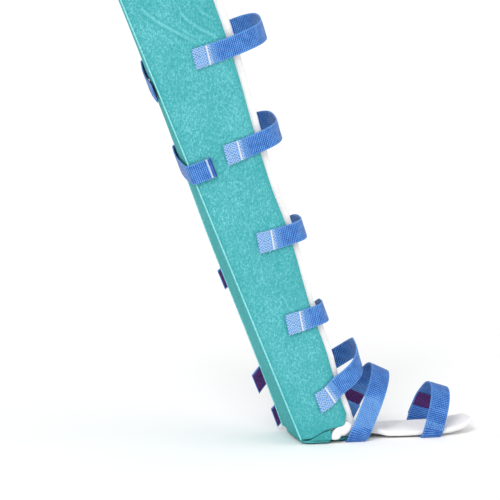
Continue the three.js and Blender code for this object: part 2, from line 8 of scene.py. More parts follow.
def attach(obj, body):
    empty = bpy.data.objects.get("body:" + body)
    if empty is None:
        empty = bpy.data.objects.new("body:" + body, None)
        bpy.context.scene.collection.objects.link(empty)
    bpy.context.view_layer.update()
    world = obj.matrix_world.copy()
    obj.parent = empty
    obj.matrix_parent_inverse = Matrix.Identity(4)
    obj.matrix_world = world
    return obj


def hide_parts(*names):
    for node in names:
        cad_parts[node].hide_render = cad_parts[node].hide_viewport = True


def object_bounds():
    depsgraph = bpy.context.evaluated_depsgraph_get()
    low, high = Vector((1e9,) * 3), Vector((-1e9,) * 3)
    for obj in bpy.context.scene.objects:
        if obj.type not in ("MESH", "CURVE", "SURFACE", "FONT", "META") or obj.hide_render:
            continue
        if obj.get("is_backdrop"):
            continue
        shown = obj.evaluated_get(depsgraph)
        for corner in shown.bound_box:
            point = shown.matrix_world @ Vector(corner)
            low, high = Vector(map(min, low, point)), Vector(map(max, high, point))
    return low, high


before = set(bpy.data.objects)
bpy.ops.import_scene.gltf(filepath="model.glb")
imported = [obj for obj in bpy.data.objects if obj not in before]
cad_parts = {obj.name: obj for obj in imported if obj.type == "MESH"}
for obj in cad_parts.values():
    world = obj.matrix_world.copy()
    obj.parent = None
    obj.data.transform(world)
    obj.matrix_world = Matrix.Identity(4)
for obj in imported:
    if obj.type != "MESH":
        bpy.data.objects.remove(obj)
cad_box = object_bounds()

# Leg piece, in metres
LEG_LENGTH = 0.8
LEAN = math.radians(22.2)
KNEE_LEVEL = 0.49
TOP_DEPTH = 0.14
TOP_WIDTH = 0.18
TOP_TWIST = math.radians(9.5)
TOP_BAND = 0.0145
PANEL_THICK = 0.01
SIDE_CROWN = 0.006
EDGE_CURL = 0.006
BACK_CROWN = 0.004
WRINKLE_HEIGHT = 0.0024
WRINKLE_HALF_WIDTH = 0.0025
WRINKLE_REACH = 4
PANEL_STEP = 0.0062
FOLD_STEP = 0.004
FOLD_ROWS = (0.8, 0.96)
PIPING_RADIUS = 0.0014
PIPING_ROOM = 0.0008
PIPING_HUG = 0.0002
SEAM_MITRE = 0.8
LINING_THICK = 0.012
LINING_CUT = 0.4
SIDE_PART = 0.4
CORNER_PART = 0.44

# Heel and sole
HEM_RISE = 0.038
OUTSOLE_THICK = 0.004
OUTSOLE_LENGTH = 0.112
OUTSOLE_FRONT_WIDTH = 0.088
OUTSOLE_STEP_X = 0.0475
OUTSOLE_STEP_LENGTH = 0.005
HEEL_ROUND = 0.016
GUSSET_THICK = 0.006
GUSSET_RECESS = 0.002
GUSSET_BACK_X = 0.01
GUSSET_FRONT_X = 0.046
ROLL_RADIUS = 0.0055
ROLL_FLATNESS = 0.75
ROLL_FULLNESS = 1.42
SOLE_LENGTH = 0.263
SOLE_WIDTH = 0.092
SOLE_THICK = 0.012
TOE_CURL = 0.012

# Straps
STRAP_WIDTH = 0.032
STRAP_THICK = 0.002
HOOK_THICK = 0.0012
HOOK_MARGIN = 0.002
HOOK_WIDTH = STRAP_WIDTH - 2 * HOOK_MARGIN
SELVEDGE = 0.0016
FRONT_REACH = 0.06
CORNER_TURN = 0.003
INSTEP = {"bottom": 0.087, "top": 0.139, "height": 0.108, "width": 0.114}
TOE = {"bottom": 0.211, "top": 0.236, "height": 0.075, "width": 0.102}
FOOT_STRAP_LAP = 0.045
FRONT = 1.5
SQUARE_UNTIL = 1.3
RUN_STEP = 0.004
SLIDE_STEPS = 6

# Pads: how round their edges are, how wide the sewn edges that air doesn't lift, how much
# smaller a pad starts than its final size, and its cloth
PANEL_RIM = 0.0045
FRONT_RIM = 0.0048
HEEL_RIM = 0.004
SEAM_RIM = 0.0025
SEAM_FULLNESS = 0.86
LINING_RIM = 0.006
SOLE_RIM = 0.006
OUTSOLE_RIM = 0.002
EDGE_HOLD = 0.004
SEAM_HOLD = 0.006
PAD_SETTLE = 0.0015
SOLE_SETTLE = 0.001
PAD_ROOM = PAD_SETTLE
SOLE_ROOM = SOLE_SETTLE
AIR_FRAMES = 20
PAD_CLOTH = {
    "quality": 4,
    "mass": 0.2,
    "tension_stiffness": 12,
    "compression_stiffness": 12,
    "shear_stiffness": 4,
    "bending_stiffness": 0.4,
    "use_pressure": True,
}

# Clearances
GAP = 0.0003
SOFT_GAP = 0.0006
STRAP_GAP = 0.0005

# Sewing
PATCH_LENGTH = 0.022
PATCH_START = 0.0002
PATCH_TO_BAR = 0.0018
PATCH_ROWS = 4
PATCH_TURNS = 14
SPARSE_LENGTH = 0.016
BAR_WIDTH = 0.003
TAIL_BAR = (0.0065, 0.0088)
PATCH_THREAD = 0.00052
FADING_THREAD = 0.00045
FINE_THREAD = 0.00042
TAIL_THREAD = 0.00038
THREAD_RISE = 0.0003
THREAD_DIP = -0.0001

# The leg piece's cross sections: up as a share of its length, the rest as shares of the values
# at its top
SECTIONS = {
    "up": (0.0, 0.08, 0.15, 0.25, 0.4, 0.5, 0.6, 0.75, 0.88, 1.0),
    "depth": (0.607, 0.621, 0.66, 0.684, 0.768, 0.779, 0.82, 0.91, 0.952, 0.962),
    "width": (0.65, 0.65, 0.667, 0.711, 0.817, 0.844, 0.878, 0.928, 0.967, 1.0),
    "twist": (0.0, 0.1, 0.18, 0.27, 0.4, 0.52, 0.66, 0.82, 0.94, 1.0),
    "band": (0.73, 0.73, 0.73, 0.76, 0.79, 0.82, 0.85, 0.88, 0.96, 1.0),
}
# The side panel's hem: its rise above the heel floor across the panel
HEM = {
    "across": (0.0, 0.18, 0.42, 0.67, 0.85, 1.0),
    "rise": (0.0, 0.054, 0.32, 0.465, 0.54, 1.0),
}
# The rolled edge's course: across as a share of the heel's depth, rise as a share of HEM_RISE
ROLL = (
    (0.609, -0.016), (0.636, 0.142), (0.716, 0.3), (0.8, 0.335), (0.892, 0.42), (0.991, 0.62),
)
# The sole pad's half width and the lift of its toe end, along its length
SOLE = {
    "along": (0.0, 0.04, 0.12, 0.22, 0.3, 0.38, 0.5, 0.7, 0.84, 0.93, 0.98, 1.0),
    "wide": (0.45, 0.64, 0.66, 0.57, 0.55, 0.8, 0.96, 1.0, 0.95, 0.82, 0.6, 0.4),
    "lift": (0.0, 0.0, 0.0, 0.0, 0.0, 0.0, 0.0, 0.0, 0.1, 0.5, 0.85, 1.0),
}

# A foot strap's loop: across and up, as shares of its half width and its length up
FOOT_LOOP = ((1.0, 0.2), (0.93, 0.4), (0.82, 0.62), (0.6, 0.83), (0.31, 0.96))
UNDER_SOLE = ((1, 0.06), (0.96, 0), (0.9, 0), (0, 0), (-0.9, 0), (-0.96, 0), (-1, 0.06))

# Folds above the thigh strap's sewn end, and small puckers at the sewn ends: how high each is,
# and its course, up and across as shares of the leg's length and top depth.
WRINKLES = (
    (0.9, (0.934, 0.173), (0.901, 0.279), (0.878, 0.381), (0.833, 0.59)),
    (0.7, (0.898, 0.556), (0.857, 0.682), (0.826, 0.82)),
    (0.55, (0.902, 0.752), (0.884, 0.776), (0.855, 0.896)),
    (0.45, (0.916, 0.555), (0.885, 0.583), (0.856, 0.64)),
    (0.4, (0.868, 0.5), (0.84, 0.61)),
    (0.35, (0.95, 0.36), (0.915, 0.44)),
)
PUCKERS = (
    (0.35, (0.655, 0.28), (0.625, 0.46)),
    (0.35, (0.56, 0.3), (0.58, 0.43)),
    (0.35, (0.372, 0.28), (0.396, 0.38)),
    (0.35, (0.212, 0.2), (0.226, 0.32)),
)

# Leg straps: levels at the sewn end, over the front and at the tail, how late the strap climbs
# to the front, where it starts, how far it reaches, and where hook tape and tail end.
LEG_STRAPS = {
    "thigh": {
        "levels": (0.804, 0.7865, 0.763), "climb": 0.0, "start": 0.537, "reach": 1.03,
        "hook": 3.3, "end": 3.84, "wraps": True,
    },
    "knee": {
        "levels": (0.602, 0.592, 0.591), "climb": 0.0, "start": 0.513, "reach": 0.71,
        "hook": 4.05, "end": 4.315, "wraps": True,
    },
    "calf": {
        "levels": (0.4135, 0.388, 0.327), "climb": 0.0, "start": 0.5, "reach": 0.49,
        "hook": 2.5, "end": 3.06, "wraps": False,
    },
    "shin": {
        "levels": (0.2385, 0.218, 0.11), "climb": 0.0, "start": 0.5, "reach": 0.4,
        "hook": 2.45, "end": 3.19, "wraps": False,
    },
    "ankle": {
        "levels": (0.067, 0.118, 0.032), "climb": 1.0, "start": 0.53, "reach": 0.9,
        "hook": 2.55, "end": 3.09, "wraps": False,
    },
}

UP_LEG = Vector((-math.sin(LEAN), 0, math.cos(LEAN)))
FORWARD = Vector((math.cos(LEAN), 0, math.sin(LEAN)))
SIDEWAYS = Vector((0, 1, 0))
OUTSOLE_TOP = STRAP_THICK + GAP + OUTSOLE_THICK
HEEL_FLOOR = OUTSOLE_TOP + GAP
PANEL_INSET = PANEL_THICK + SOFT_GAP
SEWN_LIFT = STRAP_GAP + STRAP_THICK / 2
HOOK_LIFT = PIPING_RADIUS + GAP + HOOK_THICK / 2
TAIL_LIFT = HOOK_LIFT + HOOK_THICK / 2 + STRAP_GAP + STRAP_THICK / 2


def mix(a, b, share):
    return a + (b - a) * share


def clamp(value, low=0.0, high=1.0):
    return min(max(value, low), high)


def ease(value, low, high):
    t = clamp((value - low) / (high - low))
    return t * t * (3 - 2 * t)


def read(table, key, column, wanted):
    """A table's column at a place between its rows, smoothly."""
    places, values = table[key], table[column]
    last = len(places) - 1
    at = clamp(wanted, places[0], places[last])
    row = 0
    while row < last - 1 and at > places[row + 1]:
        row += 1

    def slope(i):
        before, after = max(i - 1, 0), min(i + 1, last)
        return (values[after] - values[before]) / (places[after] - places[before])

    span = places[row + 1] - places[row]
    t = (at - places[row]) / span
    bend = t * (1 - t) * ((1 - t) * slope(row) - t * slope(row + 1)) * span
    return mix(values[row], values[row + 1], t * t * (3 - 2 * t)) + bend


def section(level, column):
    return read(SECTIONS, "up", column, level / LEG_LENGTH)


def depth_at(level):
    return section(level, "depth") * TOP_DEPTH


def width_at(level):
    return section(level, "width") * TOP_WIDTH


def band_at(level):
    return section(level, "band") * TOP_BAND


def leg_axes(level):
    """The ways forward and across at a level of the leg piece, with its twist."""
    turn = -section(level, "twist") * TOP_TWIST
    ahead = FORWARD * math.cos(turn) + SIDEWAYS * math.sin(turn)
    sideways = SIDEWAYS * math.cos(turn) - FORWARD * math.sin(turn)
    return ahead, sideways


def floor_point(level, forward, across):
    ahead, sideways = leg_axes(level)
    return UP_LEG * level + ahead * forward + sideways * across


SEAT = floor_point(KNEE_LEVEL, depth_at(KNEE_LEVEL) / 2, width_at(KNEE_LEVEL) / 2)


def leg_point(level, forward, across):
    return floor_point(level, forward, across) - SEAT


def leg_coords(point):
    """Level, forward and across of a point of the leg piece."""
    place = point + SEAT
    level = place.dot(UP_LEG)
    ahead, sideways = leg_axes(level)
    return level, place.dot(ahead), place.dot(sideways)


def bulge(share):
    """How far a side panel's middle swells out and its front edge curls in."""
    return -SIDE_CROWN * math.sin(math.pi * clamp(share)) + EDGE_CURL * max(share, 0) ** 3


def mirrored(level, across, inner):
    return width_at(level) - across if inner else across


def level_at_height(height, forward):
    return (height - forward * math.sin(LEAN)) / math.cos(LEAN)


def hem_height(share):
    return HEEL_FLOOR + read(HEM, "across", "rise", share) * HEM_RISE


def near(distance, width):
    """1 at a place, fading towards 0 at a few widths from it."""
    return math.exp(-((distance / width) ** 2))


def drift(x, y, z):
    """Smooth unevenness at a place, the same each run."""
    return noise.noise(Vector((x, y, z)))


def ridge(level, forward, folds):
    """Height of the folds at a place of the outer panel, and the shade beside them."""
    height, shade = 0.0, 0.0
    place = Vector((level, forward))
    for high, *course in folds:
        points = [Vector((up * LEG_LENGTH, across * TOP_DEPTH)) for up, across in course]
        whole = sum((b - a).length for a, b in zip(points, points[1:]))
        passed, nearest, share = 0.0, 1.0, 0.0
        for a, b in zip(points, points[1:]):
            run = b - a
            along = clamp((place - a).dot(run) / run.length_squared)
            gap = (place - a - run * along).length
            if gap < nearest:
                nearest, share = gap, (passed + along * run.length) / whole
            passed += run.length
        away = nearest / WRINKLE_HALF_WIDTH
        if away < WRINKLE_REACH:
            here = high * math.sqrt(math.sin(math.pi * mix(0.06, 0.94, share)))
            height += here * WRINKLE_HEIGHT * math.exp(-away * away)
            shade += here * near(away - 1.7, 0.7)
    return height, shade


def rim(distance, radius):
    """How full a pad is at a distance from its sewn edge, from 0 to 1."""
    t = 1 - clamp(distance / radius)
    return math.sqrt(max(1 - t * t, 0))


def spaced(length, step, radius):
    """Places along a length, as shares, closer together near both ends."""
    ends = [0, 0.08, 0.3, 0.62, 1.0]
    count = max(2, round((length - 2 * radius) / step))
    middle = [mix(radius, length - radius, i / count) for i in range(1, count)]
    low = [e * radius for e in ends]
    return [x / length for x in low + middle + [length - x for x in reversed(low)]]


# Meshes

def add_object(name, data):
    thing = bpy.data.objects.new(name, data)
    bpy.context.collection.objects.link(thing)
    return thing


def closed_piece(name, bm):
    """Turns a closed mesh's faces outwards and makes it a piece."""
    bmesh.ops.recalc_face_normals(bm, faces=bm.faces)
    mesh = bpy.data.meshes.new(name)
    bm.to_mesh(mesh)
    bm.free()
    return add_object(name, mesh)


def skin(name, place, rows, columns, flat=None):
    """A closed skin between two faces: place(u, v, sign) is a point of one where sign is -1 and
    of the other where it is 1. flat(u, v) gives its cloth coordinates in metres. Where the
    faces meet at the rim they are joined."""
    bm = bmesh.new()
    uv = bm.loops.layers.uv.new("UVMap")
    sheets = []
    for sign in (-1, 1):
        sheets.append([[bm.verts.new(place(u, v, sign)) for v in columns] for u in rows])
    cloth = [[flat(u, v) if flat else (u, v) for v in columns] for u in rows]

    def quad(corners):
        made = bm.faces.new([sheets[s][i][j] for s, i, j in corners])
        made.smooth = True
        for loop, (_, i, j) in zip(made.loops, corners):
            loop[uv].uv = cloth[i][j]

    top, side = len(rows) - 1, len(columns) - 1
    for i in range(top):
        for j in range(side):
            quad([(0, i, j), (0, i + 1, j), (0, i + 1, j + 1), (0, i, j + 1)])
            quad([(1, i, j), (1, i, j + 1), (1, i + 1, j + 1), (1, i + 1, j)])
    for i in range(top):
        quad([(0, i, 0), (1, i, 0), (1, i + 1, 0), (0, i + 1, 0)])
        quad([(0, i, side), (0, i + 1, side), (1, i + 1, side), (1, i, side)])
    for j in range(side):
        quad([(0, 0, j), (0, 0, j + 1), (1, 0, j + 1), (1, 0, j)])
        quad([(0, top, j), (1, top, j), (1, top, j + 1), (0, top, j + 1)])
    bmesh.ops.remove_doubles(bm, verts=bm.verts, dist=1e-6)
    bmesh.ops.dissolve_degenerate(bm, edges=bm.edges, dist=1e-7)
    return closed_piece(name, bm)


def tube(name, rings, smooth_ends):
    """A closed tube through rings of points."""
    bm = bmesh.new()
    made = [[bm.verts.new(point) for point in ring] for ring in rings]
    for below, above in zip(made, made[1:]):
        for j in range(len(below)):
            k = (j + 1) % len(below)
            bm.faces.new((below[j], below[k], above[k], above[j])).smooth = True
    for ring in (made[0], made[-1]):
        bm.faces.new(ring).smooth = smooth_ends
    return closed_piece(name, bm)


def settle(piece):
    """Applies the piece's modifiers to its mesh."""
    bpy.context.view_layer.update()
    graph = bpy.context.evaluated_depsgraph_get()
    mesh = bpy.data.meshes.new_from_object(piece.evaluated_get(graph), depsgraph=graph)
    old = piece.data
    piece.modifiers.clear()
    piece.data = mesh
    bpy.data.meshes.remove(old)
    mesh.name = piece.name
    return piece


def smooth_once(piece):
    piece.modifiers.new("softer", "SUBSURF")
    piece.modifiers["softer"].levels = 1
    piece.modifiers["softer"].render_levels = 1
    return settle(piece)


def fill_with_air(piece, sewn, cap, pressure):
    """Blows the cloth of a pad out between its sewn edges, no further than cap."""
    scene = bpy.context.scene
    start = [v.co.copy() for v in piece.data.vertices]
    group = piece.vertex_groups.new(name="sewn")
    group.add([v.index for v in piece.data.vertices if sewn(v.co)], 1.0, "REPLACE")
    cloth = piece.modifiers.new("air", "CLOTH")
    for setting, value in PAD_CLOTH.items():
        setattr(cloth.settings, setting, value)
    cloth.settings.uniform_pressure_force = pressure
    cloth.settings.vertex_group_mass = "sewn"
    cloth.settings.effector_weights.gravity = 0
    cloth.point_cache.frame_start = 1
    cloth.point_cache.frame_end = AIR_FRAMES
    for number in range(1, AIR_FRAMES + 1):
        scene.frame_set(number)
    graph = bpy.context.evaluated_depsgraph_get()
    blown = [v.co.copy() for v in piece.evaluated_get(graph).data.vertices]
    piece.modifiers.remove(cloth)
    piece.vertex_groups.remove(group)
    scene.frame_set(1)
    for vertex, before, after in zip(piece.data.vertices, start, blown):
        move = after - before
        if move.length > cap:
            move *= cap / move.length
        vertex.co = before + move
    piece.data.update()


def pad(name, place, rows, columns, cut, sewn, cap=PAD_SETTLE, pressure=3.0):
    """A padded piece: a skin between two faces, blown out between its sewn edges, then
    smoothed. cut is how wide and how long its cloth is."""
    piece = skin(name, place, rows, columns, lambda u, v: (v * cut[0], u * cut[1]))
    fill_with_air(piece, sewn, cap, pressure)
    return smooth_once(piece)


def reshape(piece, change):
    """Moves a piece's points: change(level, forward, across) gives a point's new place, or
    nothing where it stays."""
    for vertex in piece.data.vertices:
        moved = change(*leg_coords(vertex.co))
        if moved:
            vertex.co = leg_point(*moved)


def shade_attribute(piece, value):
    """Writes a number at each point that the fabric's material reads: painted shade and painted
    highlight, and on webbing the tint of the thread where it is sewn.
    """
    layer = piece.data.attributes.new("worn", "FLOAT", "POINT")
    for vertex in piece.data.vertices:
        layer.data[vertex.index].value = value(vertex.co)


# Materials

class Finish:
    """A procedural material, with short calls for its nodes."""

    def __init__(self, name):
        self.material = bpy.data.materials.new(name)
        self.material.use_nodes = True
        self.tree = self.material.node_tree
        self.shader = self.tree.nodes["Principled BSDF"]
        self.place = self.tree.nodes.new("ShaderNodeTexCoord")

    def set(self, **values):
        for socket, value in values.items():
            self.shader.inputs[socket.replace("_", " ")].default_value = value

    def link(self, a, b):
        self.tree.links.new(a, b)

    def noise(self, scale, detail=3.0, rough=0.6, where=None, stretch=None):
        node = self.tree.nodes.new("ShaderNodeTexNoise")
        node.inputs["Scale"].default_value = scale
        node.inputs["Detail"].default_value = detail
        node.inputs["Roughness"].default_value = rough
        start = where or self.place.outputs["Object"]
        if stretch:
            mapping = self.tree.nodes.new("ShaderNodeMapping")
            mapping.inputs["Scale"].default_value = stretch
            self.link(start, mapping.inputs["Vector"])
            start = mapping.outputs["Vector"]
        self.link(start, node.inputs["Vector"])
        return node.outputs["Fac"]

    def math(self, operation, a, b=0.0, c=0.0):
        node = self.tree.nodes.new("ShaderNodeMath")
        node.operation = operation
        for socket, value in zip(node.inputs, (a, b, c)):
            if isinstance(value, (int, float)):
                socket.default_value = value
            else:
                self.link(value, socket)
        return node.outputs[0]

    def ramp(self, source, stops):
        node = self.tree.nodes.new("ShaderNodeValToRGB")
        ramp = node.color_ramp
        while len(ramp.elements) < len(stops):
            ramp.elements.new(0.5)
        for element, (place, colour) in zip(ramp.elements, stops):
            element.position = place
            element.color = (*colour, 1)
        self.link(source, node.inputs["Fac"])
        return node.outputs["Color"]

    def blend(self, share, a, b, mode="MIX"):
        node = self.tree.nodes.new("ShaderNodeMix")
        node.data_type = "RGBA"
        node.blend_type = mode
        sockets = [s for s in node.inputs if s.type == "RGBA"]
        for socket, value in ((node.inputs[0], share), (sockets[0], a), (sockets[1], b)):
            if isinstance(value, (int, float)):
                socket.default_value = value
            elif isinstance(value, tuple):
                socket.default_value = (*value, 1)
            else:
                self.link(value, socket)
        return next(s for s in node.outputs if s.type == "RGBA")

    def bump(self, height, distance, strength=1.0, after=None):
        node = self.tree.nodes.new("ShaderNodeBump")
        node.inputs["Distance"].default_value = distance
        node.inputs["Strength"].default_value = strength
        self.link(height, node.inputs["Height"])
        if after:
            self.link(after, node.inputs["Normal"])
        return node.outputs["Normal"]

    def attribute(self, name):
        node = self.tree.nodes.new("ShaderNodeAttribute")
        node.attribute_name = name
        return node.outputs["Fac"]

    def worn(self, colour, above, below):
        """Blends to one colour where the painted shading attribute is above 0, to another below 0.
        On the teal fabric this paints shade and highlight; on webbing, the thread's tint and
        painted shade.
        """
        worn = self.attribute("worn")
        colour = self.blend(self.math("MAXIMUM", worn, 0.0), colour, above)
        share = self.math("MAXIMUM", self.math("MULTIPLY", worn, -1.0), 0.0)
        return self.blend(share, colour, below)

    def finish(self, colour, normal):
        self.link(colour, self.shader.inputs["Base Color"])
        self.link(normal, self.shader.inputs["Normal"])
        return self.material


def brushed_fabric(name, dark, middle, light):
    """Loop fabric with a brushed, mottled face."""
    look = Finish(name)
    broad = look.noise(14, 1)
    flecks = look.noise(330, 3, 0.7)
    pile = look.noise(900, 2, 0.7)
    strands = look.noise(430, 3, 0.6, stretch=(1.0, 1.0, 0.5))
    tone = look.math("MULTIPLY_ADD", broad, 0.14, look.math("MULTIPLY", flecks, 0.48))
    tone = look.math("ADD", tone, look.math("MULTIPLY", strands, 0.38))
    colour = look.ramp(tone, ((0.36, dark), (0.5, middle), (0.64, light)))
    lint = look.math("GREATER_THAN", look.noise(420, 2, 0.6, stretch=(1.0, 1.0, 0.35)), 0.6)
    colour = look.blend(look.math("MULTIPLY", lint, 0.34), colour, light)
    # Painted shade towards the dark teal where the attribute is above 0, painted highlight towards
    # the light teal below 0.
    colour = look.worn(colour, dark, light)
    normal = look.bump(strands, 0.0011, 0.55)
    normal = look.bump(flecks, 0.0008, 0.6, normal)
    normal = look.bump(pile, 0.0005, 0.6, normal)
    look.set(Roughness=0.93, Sheen_Weight=0.22, Sheen_Roughness=0.45, Specular_IOR_Level=0.15)
    look.set(Sheen_Tint=(*light, 1))
    return look.finish(colour, normal)


def lining_fabric(name):
    """White napped lining over soft foam."""
    look = Finish(name)
    broad = look.noise(28, 3)
    nap = look.noise(480, 4, 0.7)
    pile = look.noise(1300, 2, 0.6)
    tone = look.math("MULTIPLY_ADD", broad, 0.5, look.math("MULTIPLY", nap, 0.5))
    whites = ((0.35, (0.8, 0.78, 0.78)), (0.5, (0.91, 0.9, 0.9)), (0.66, (0.97, 0.97, 0.97)))
    normal = look.bump(nap, 0.0012, 0.6)
    normal = look.bump(pile, 0.0004, 0.5, normal)
    look.set(Roughness=0.95, Sheen_Weight=0.3, Sheen_Roughness=0.5, Specular_IOR_Level=0.1)
    return look.finish(look.ramp(tone, whites), normal)


def webbing_weave(name, dark, middle, light, sewn, rib=0.0031, warp=0.003):
    """Ribbed webbing: raised ribs across, warp columns along, plain selvedges."""
    look = Finish(name)
    split = look.tree.nodes.new("ShaderNodeSeparateXYZ")
    look.link(look.place.outputs["UV"], split.inputs["Vector"])
    along, across = split.outputs["X"], split.outputs["Y"]
    uneven = look.math("MULTIPLY", look.noise(110, 2), rib * 0.7)
    ribs = look.math("MULTIPLY", look.math("ADD", along, uneven), 2 * math.pi / rib)
    ribs = look.math("SINE", ribs)
    columns = look.math("SINE", look.math("MULTIPLY", across, math.pi / warp))
    columns = look.math("ABSOLUTE", columns)
    weave = look.math("MULTIPLY_ADD", ribs, 0.4, look.math("MULTIPLY", columns, 0.42))
    fibre = look.noise(1500, 2, 0.6)
    broad = look.noise(90, 3)
    tone = look.math("MULTIPLY_ADD", weave, 0.66, look.math("MULTIPLY", broad, 0.6))
    tone = look.math("ADD", tone, look.math("MULTIPLY", fibre, 0.25))
    colour = look.ramp(tone, ((0.22, dark), (0.58, middle), (0.95, light)))
    from_middle = look.math("ABSOLUTE", across)
    edge = look.math("GREATER_THAN", from_middle, STRAP_WIDTH / 2 - SELVEDGE)
    colour = look.blend(look.math("MULTIPLY", edge, 0.45), colour, light)
    # The thread's tint where the webbing is sewn; painted shade where the attribute is below 0.
    colour = look.worn(colour, sewn, dark)
    normal = look.bump(weave, 0.0007, 0.75)
    normal = look.bump(fibre, 0.0002, 0.5, normal)
    look.set(Roughness=0.62, Sheen_Weight=0.12, Sheen_Roughness=0.4, Specular_IOR_Level=0.35)
    return look.finish(colour, normal)


def hook_face(name):
    """Dark hook tape: rows of small stiff hooks."""
    look = Finish(name)
    voronoi = look.tree.nodes.new("ShaderNodeTexVoronoi")
    voronoi.inputs["Scale"].default_value = 650
    look.link(look.place.outputs["Object"], voronoi.inputs["Vector"])
    bristle = look.math("SUBTRACT", 1.0, voronoi.outputs["Distance"])
    purples = ((0.3, (0.035, 0.004, 0.07)), (0.7, (0.095, 0.01, 0.17)), (1.0, (0.25, 0.06, 0.4)))
    look.set(Roughness=0.55, Specular_IOR_Level=0.4)
    return look.finish(look.ramp(bristle, purples), look.bump(bristle, 0.0009, 0.8))


def sewing_thread(name, colour):
    """Twisted thread."""
    look = Finish(name)
    twist = look.noise(1800, 2, 0.6)
    tint = look.ramp(twist, ((0.35, tuple(c * 0.8 for c in colour)), (0.65, colour)))
    look.set(Roughness=0.6, Specular_IOR_Level=0.3)
    return look.finish(tint, look.bump(twist, 0.0002, 0.5))


front_fabric = brushed_fabric(
    "teal_loop_fabric",
    dark=(0.035, 0.33, 0.34),
    middle=(0.076, 0.415, 0.448),
    light=(0.2, 0.64, 0.67),
)
# The same teal fabric, darker: painted shade for the parts that lie in shade, the back strip, the
# heel gussets and the outsole.
painted_shade_fabric = brushed_fabric(
    "teal_back_fabric",
    dark=(0.03, 0.25, 0.26),
    middle=(0.058, 0.36, 0.37),
    light=(0.12, 0.5, 0.51),
)
# A paler teal than the panels: painted highlight for the light the corner seam's ridge catches.
piping_cord = brushed_fabric(
    "piping_cord",
    dark=(0.13, 0.55, 0.56),
    middle=(0.23, 0.72, 0.74),
    light=(0.42, 0.86, 0.88),
)
white_lining = lining_fabric("white_lining")
blue_webbing = webbing_weave(
    "blue_webbing",
    dark=(0.006, 0.05, 0.25),
    middle=(0.02, 0.145, 0.52),
    light=(0.16, 0.4, 0.84),
    sewn=(0.2, 0.44, 0.82),
)
hook_tape = hook_face("hook_tape")
pale_thread = sewing_thread("pale_blue_thread", (0.5, 0.7, 0.93))
soft_thread = sewing_thread("mid_blue_thread", (0.2, 0.44, 0.83))
white_thread = sewing_thread("white_thread", (0.86, 0.88, 0.95))


def dress(piece, material, node=None):
    """Gives a finished piece its material and its place in the part."""
    piece.data.materials.clear()
    piece.data.materials.append(material)
    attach(piece, "root")
    if node:
        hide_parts(node)
    return piece


# Panels

def strap_hug(level, forward):
    """The panel's face swells beside a sewn strap and is pressed flat under it."""
    swell, press = 0.0, 0.0
    for strap in LEG_STRAPS.values():
        centre = strap["levels"][0] * LEG_LENGTH
        depth = depth_at(centre)
        middle = strap_level(strap, clamp(forward / depth, strap["start"], 1.2))
        beside = abs(level - middle) - STRAP_WIDTH / 2
        behind = strap["start"] * depth - forward
        outside = max(beside, behind)
        if outside > 0.012:
            continue
        press = max(press, ease(-outside, -0.001, 0.0005))
        swell = max(swell, near(outside - 0.004, 0.003))
    return swell, press


def panel_face(inner):
    """Gives how far the cloth of a side panel's outer face stands out at a place."""

    def detail(level, forward):
        slow = drift(level * 14, forward * 20, 3.0 if inner else 0.0)
        fine = drift(level * 55, forward * 60, 7.0)
        near_edge = near(depth_at(level) - forward, 0.009) + near(forward - 0.004, 0.008)
        pucker = drift(level * 130, 2.0, 5.0 if inner else 1.0) * near_edge
        height = 0.0006 * slow + 0.0002 * fine + 0.0006 * pucker - 0.0007
        if inner:
            return height
        swell, press = strap_hug(level, forward)
        height = mix(height, 0.0, press) + 0.0009 * swell * (1 - press)
        puckers = ridge(level, forward, PUCKERS)[0] * (1 - press)
        return height + ridge(level, forward, WRINKLES)[0] + puckers

    return detail


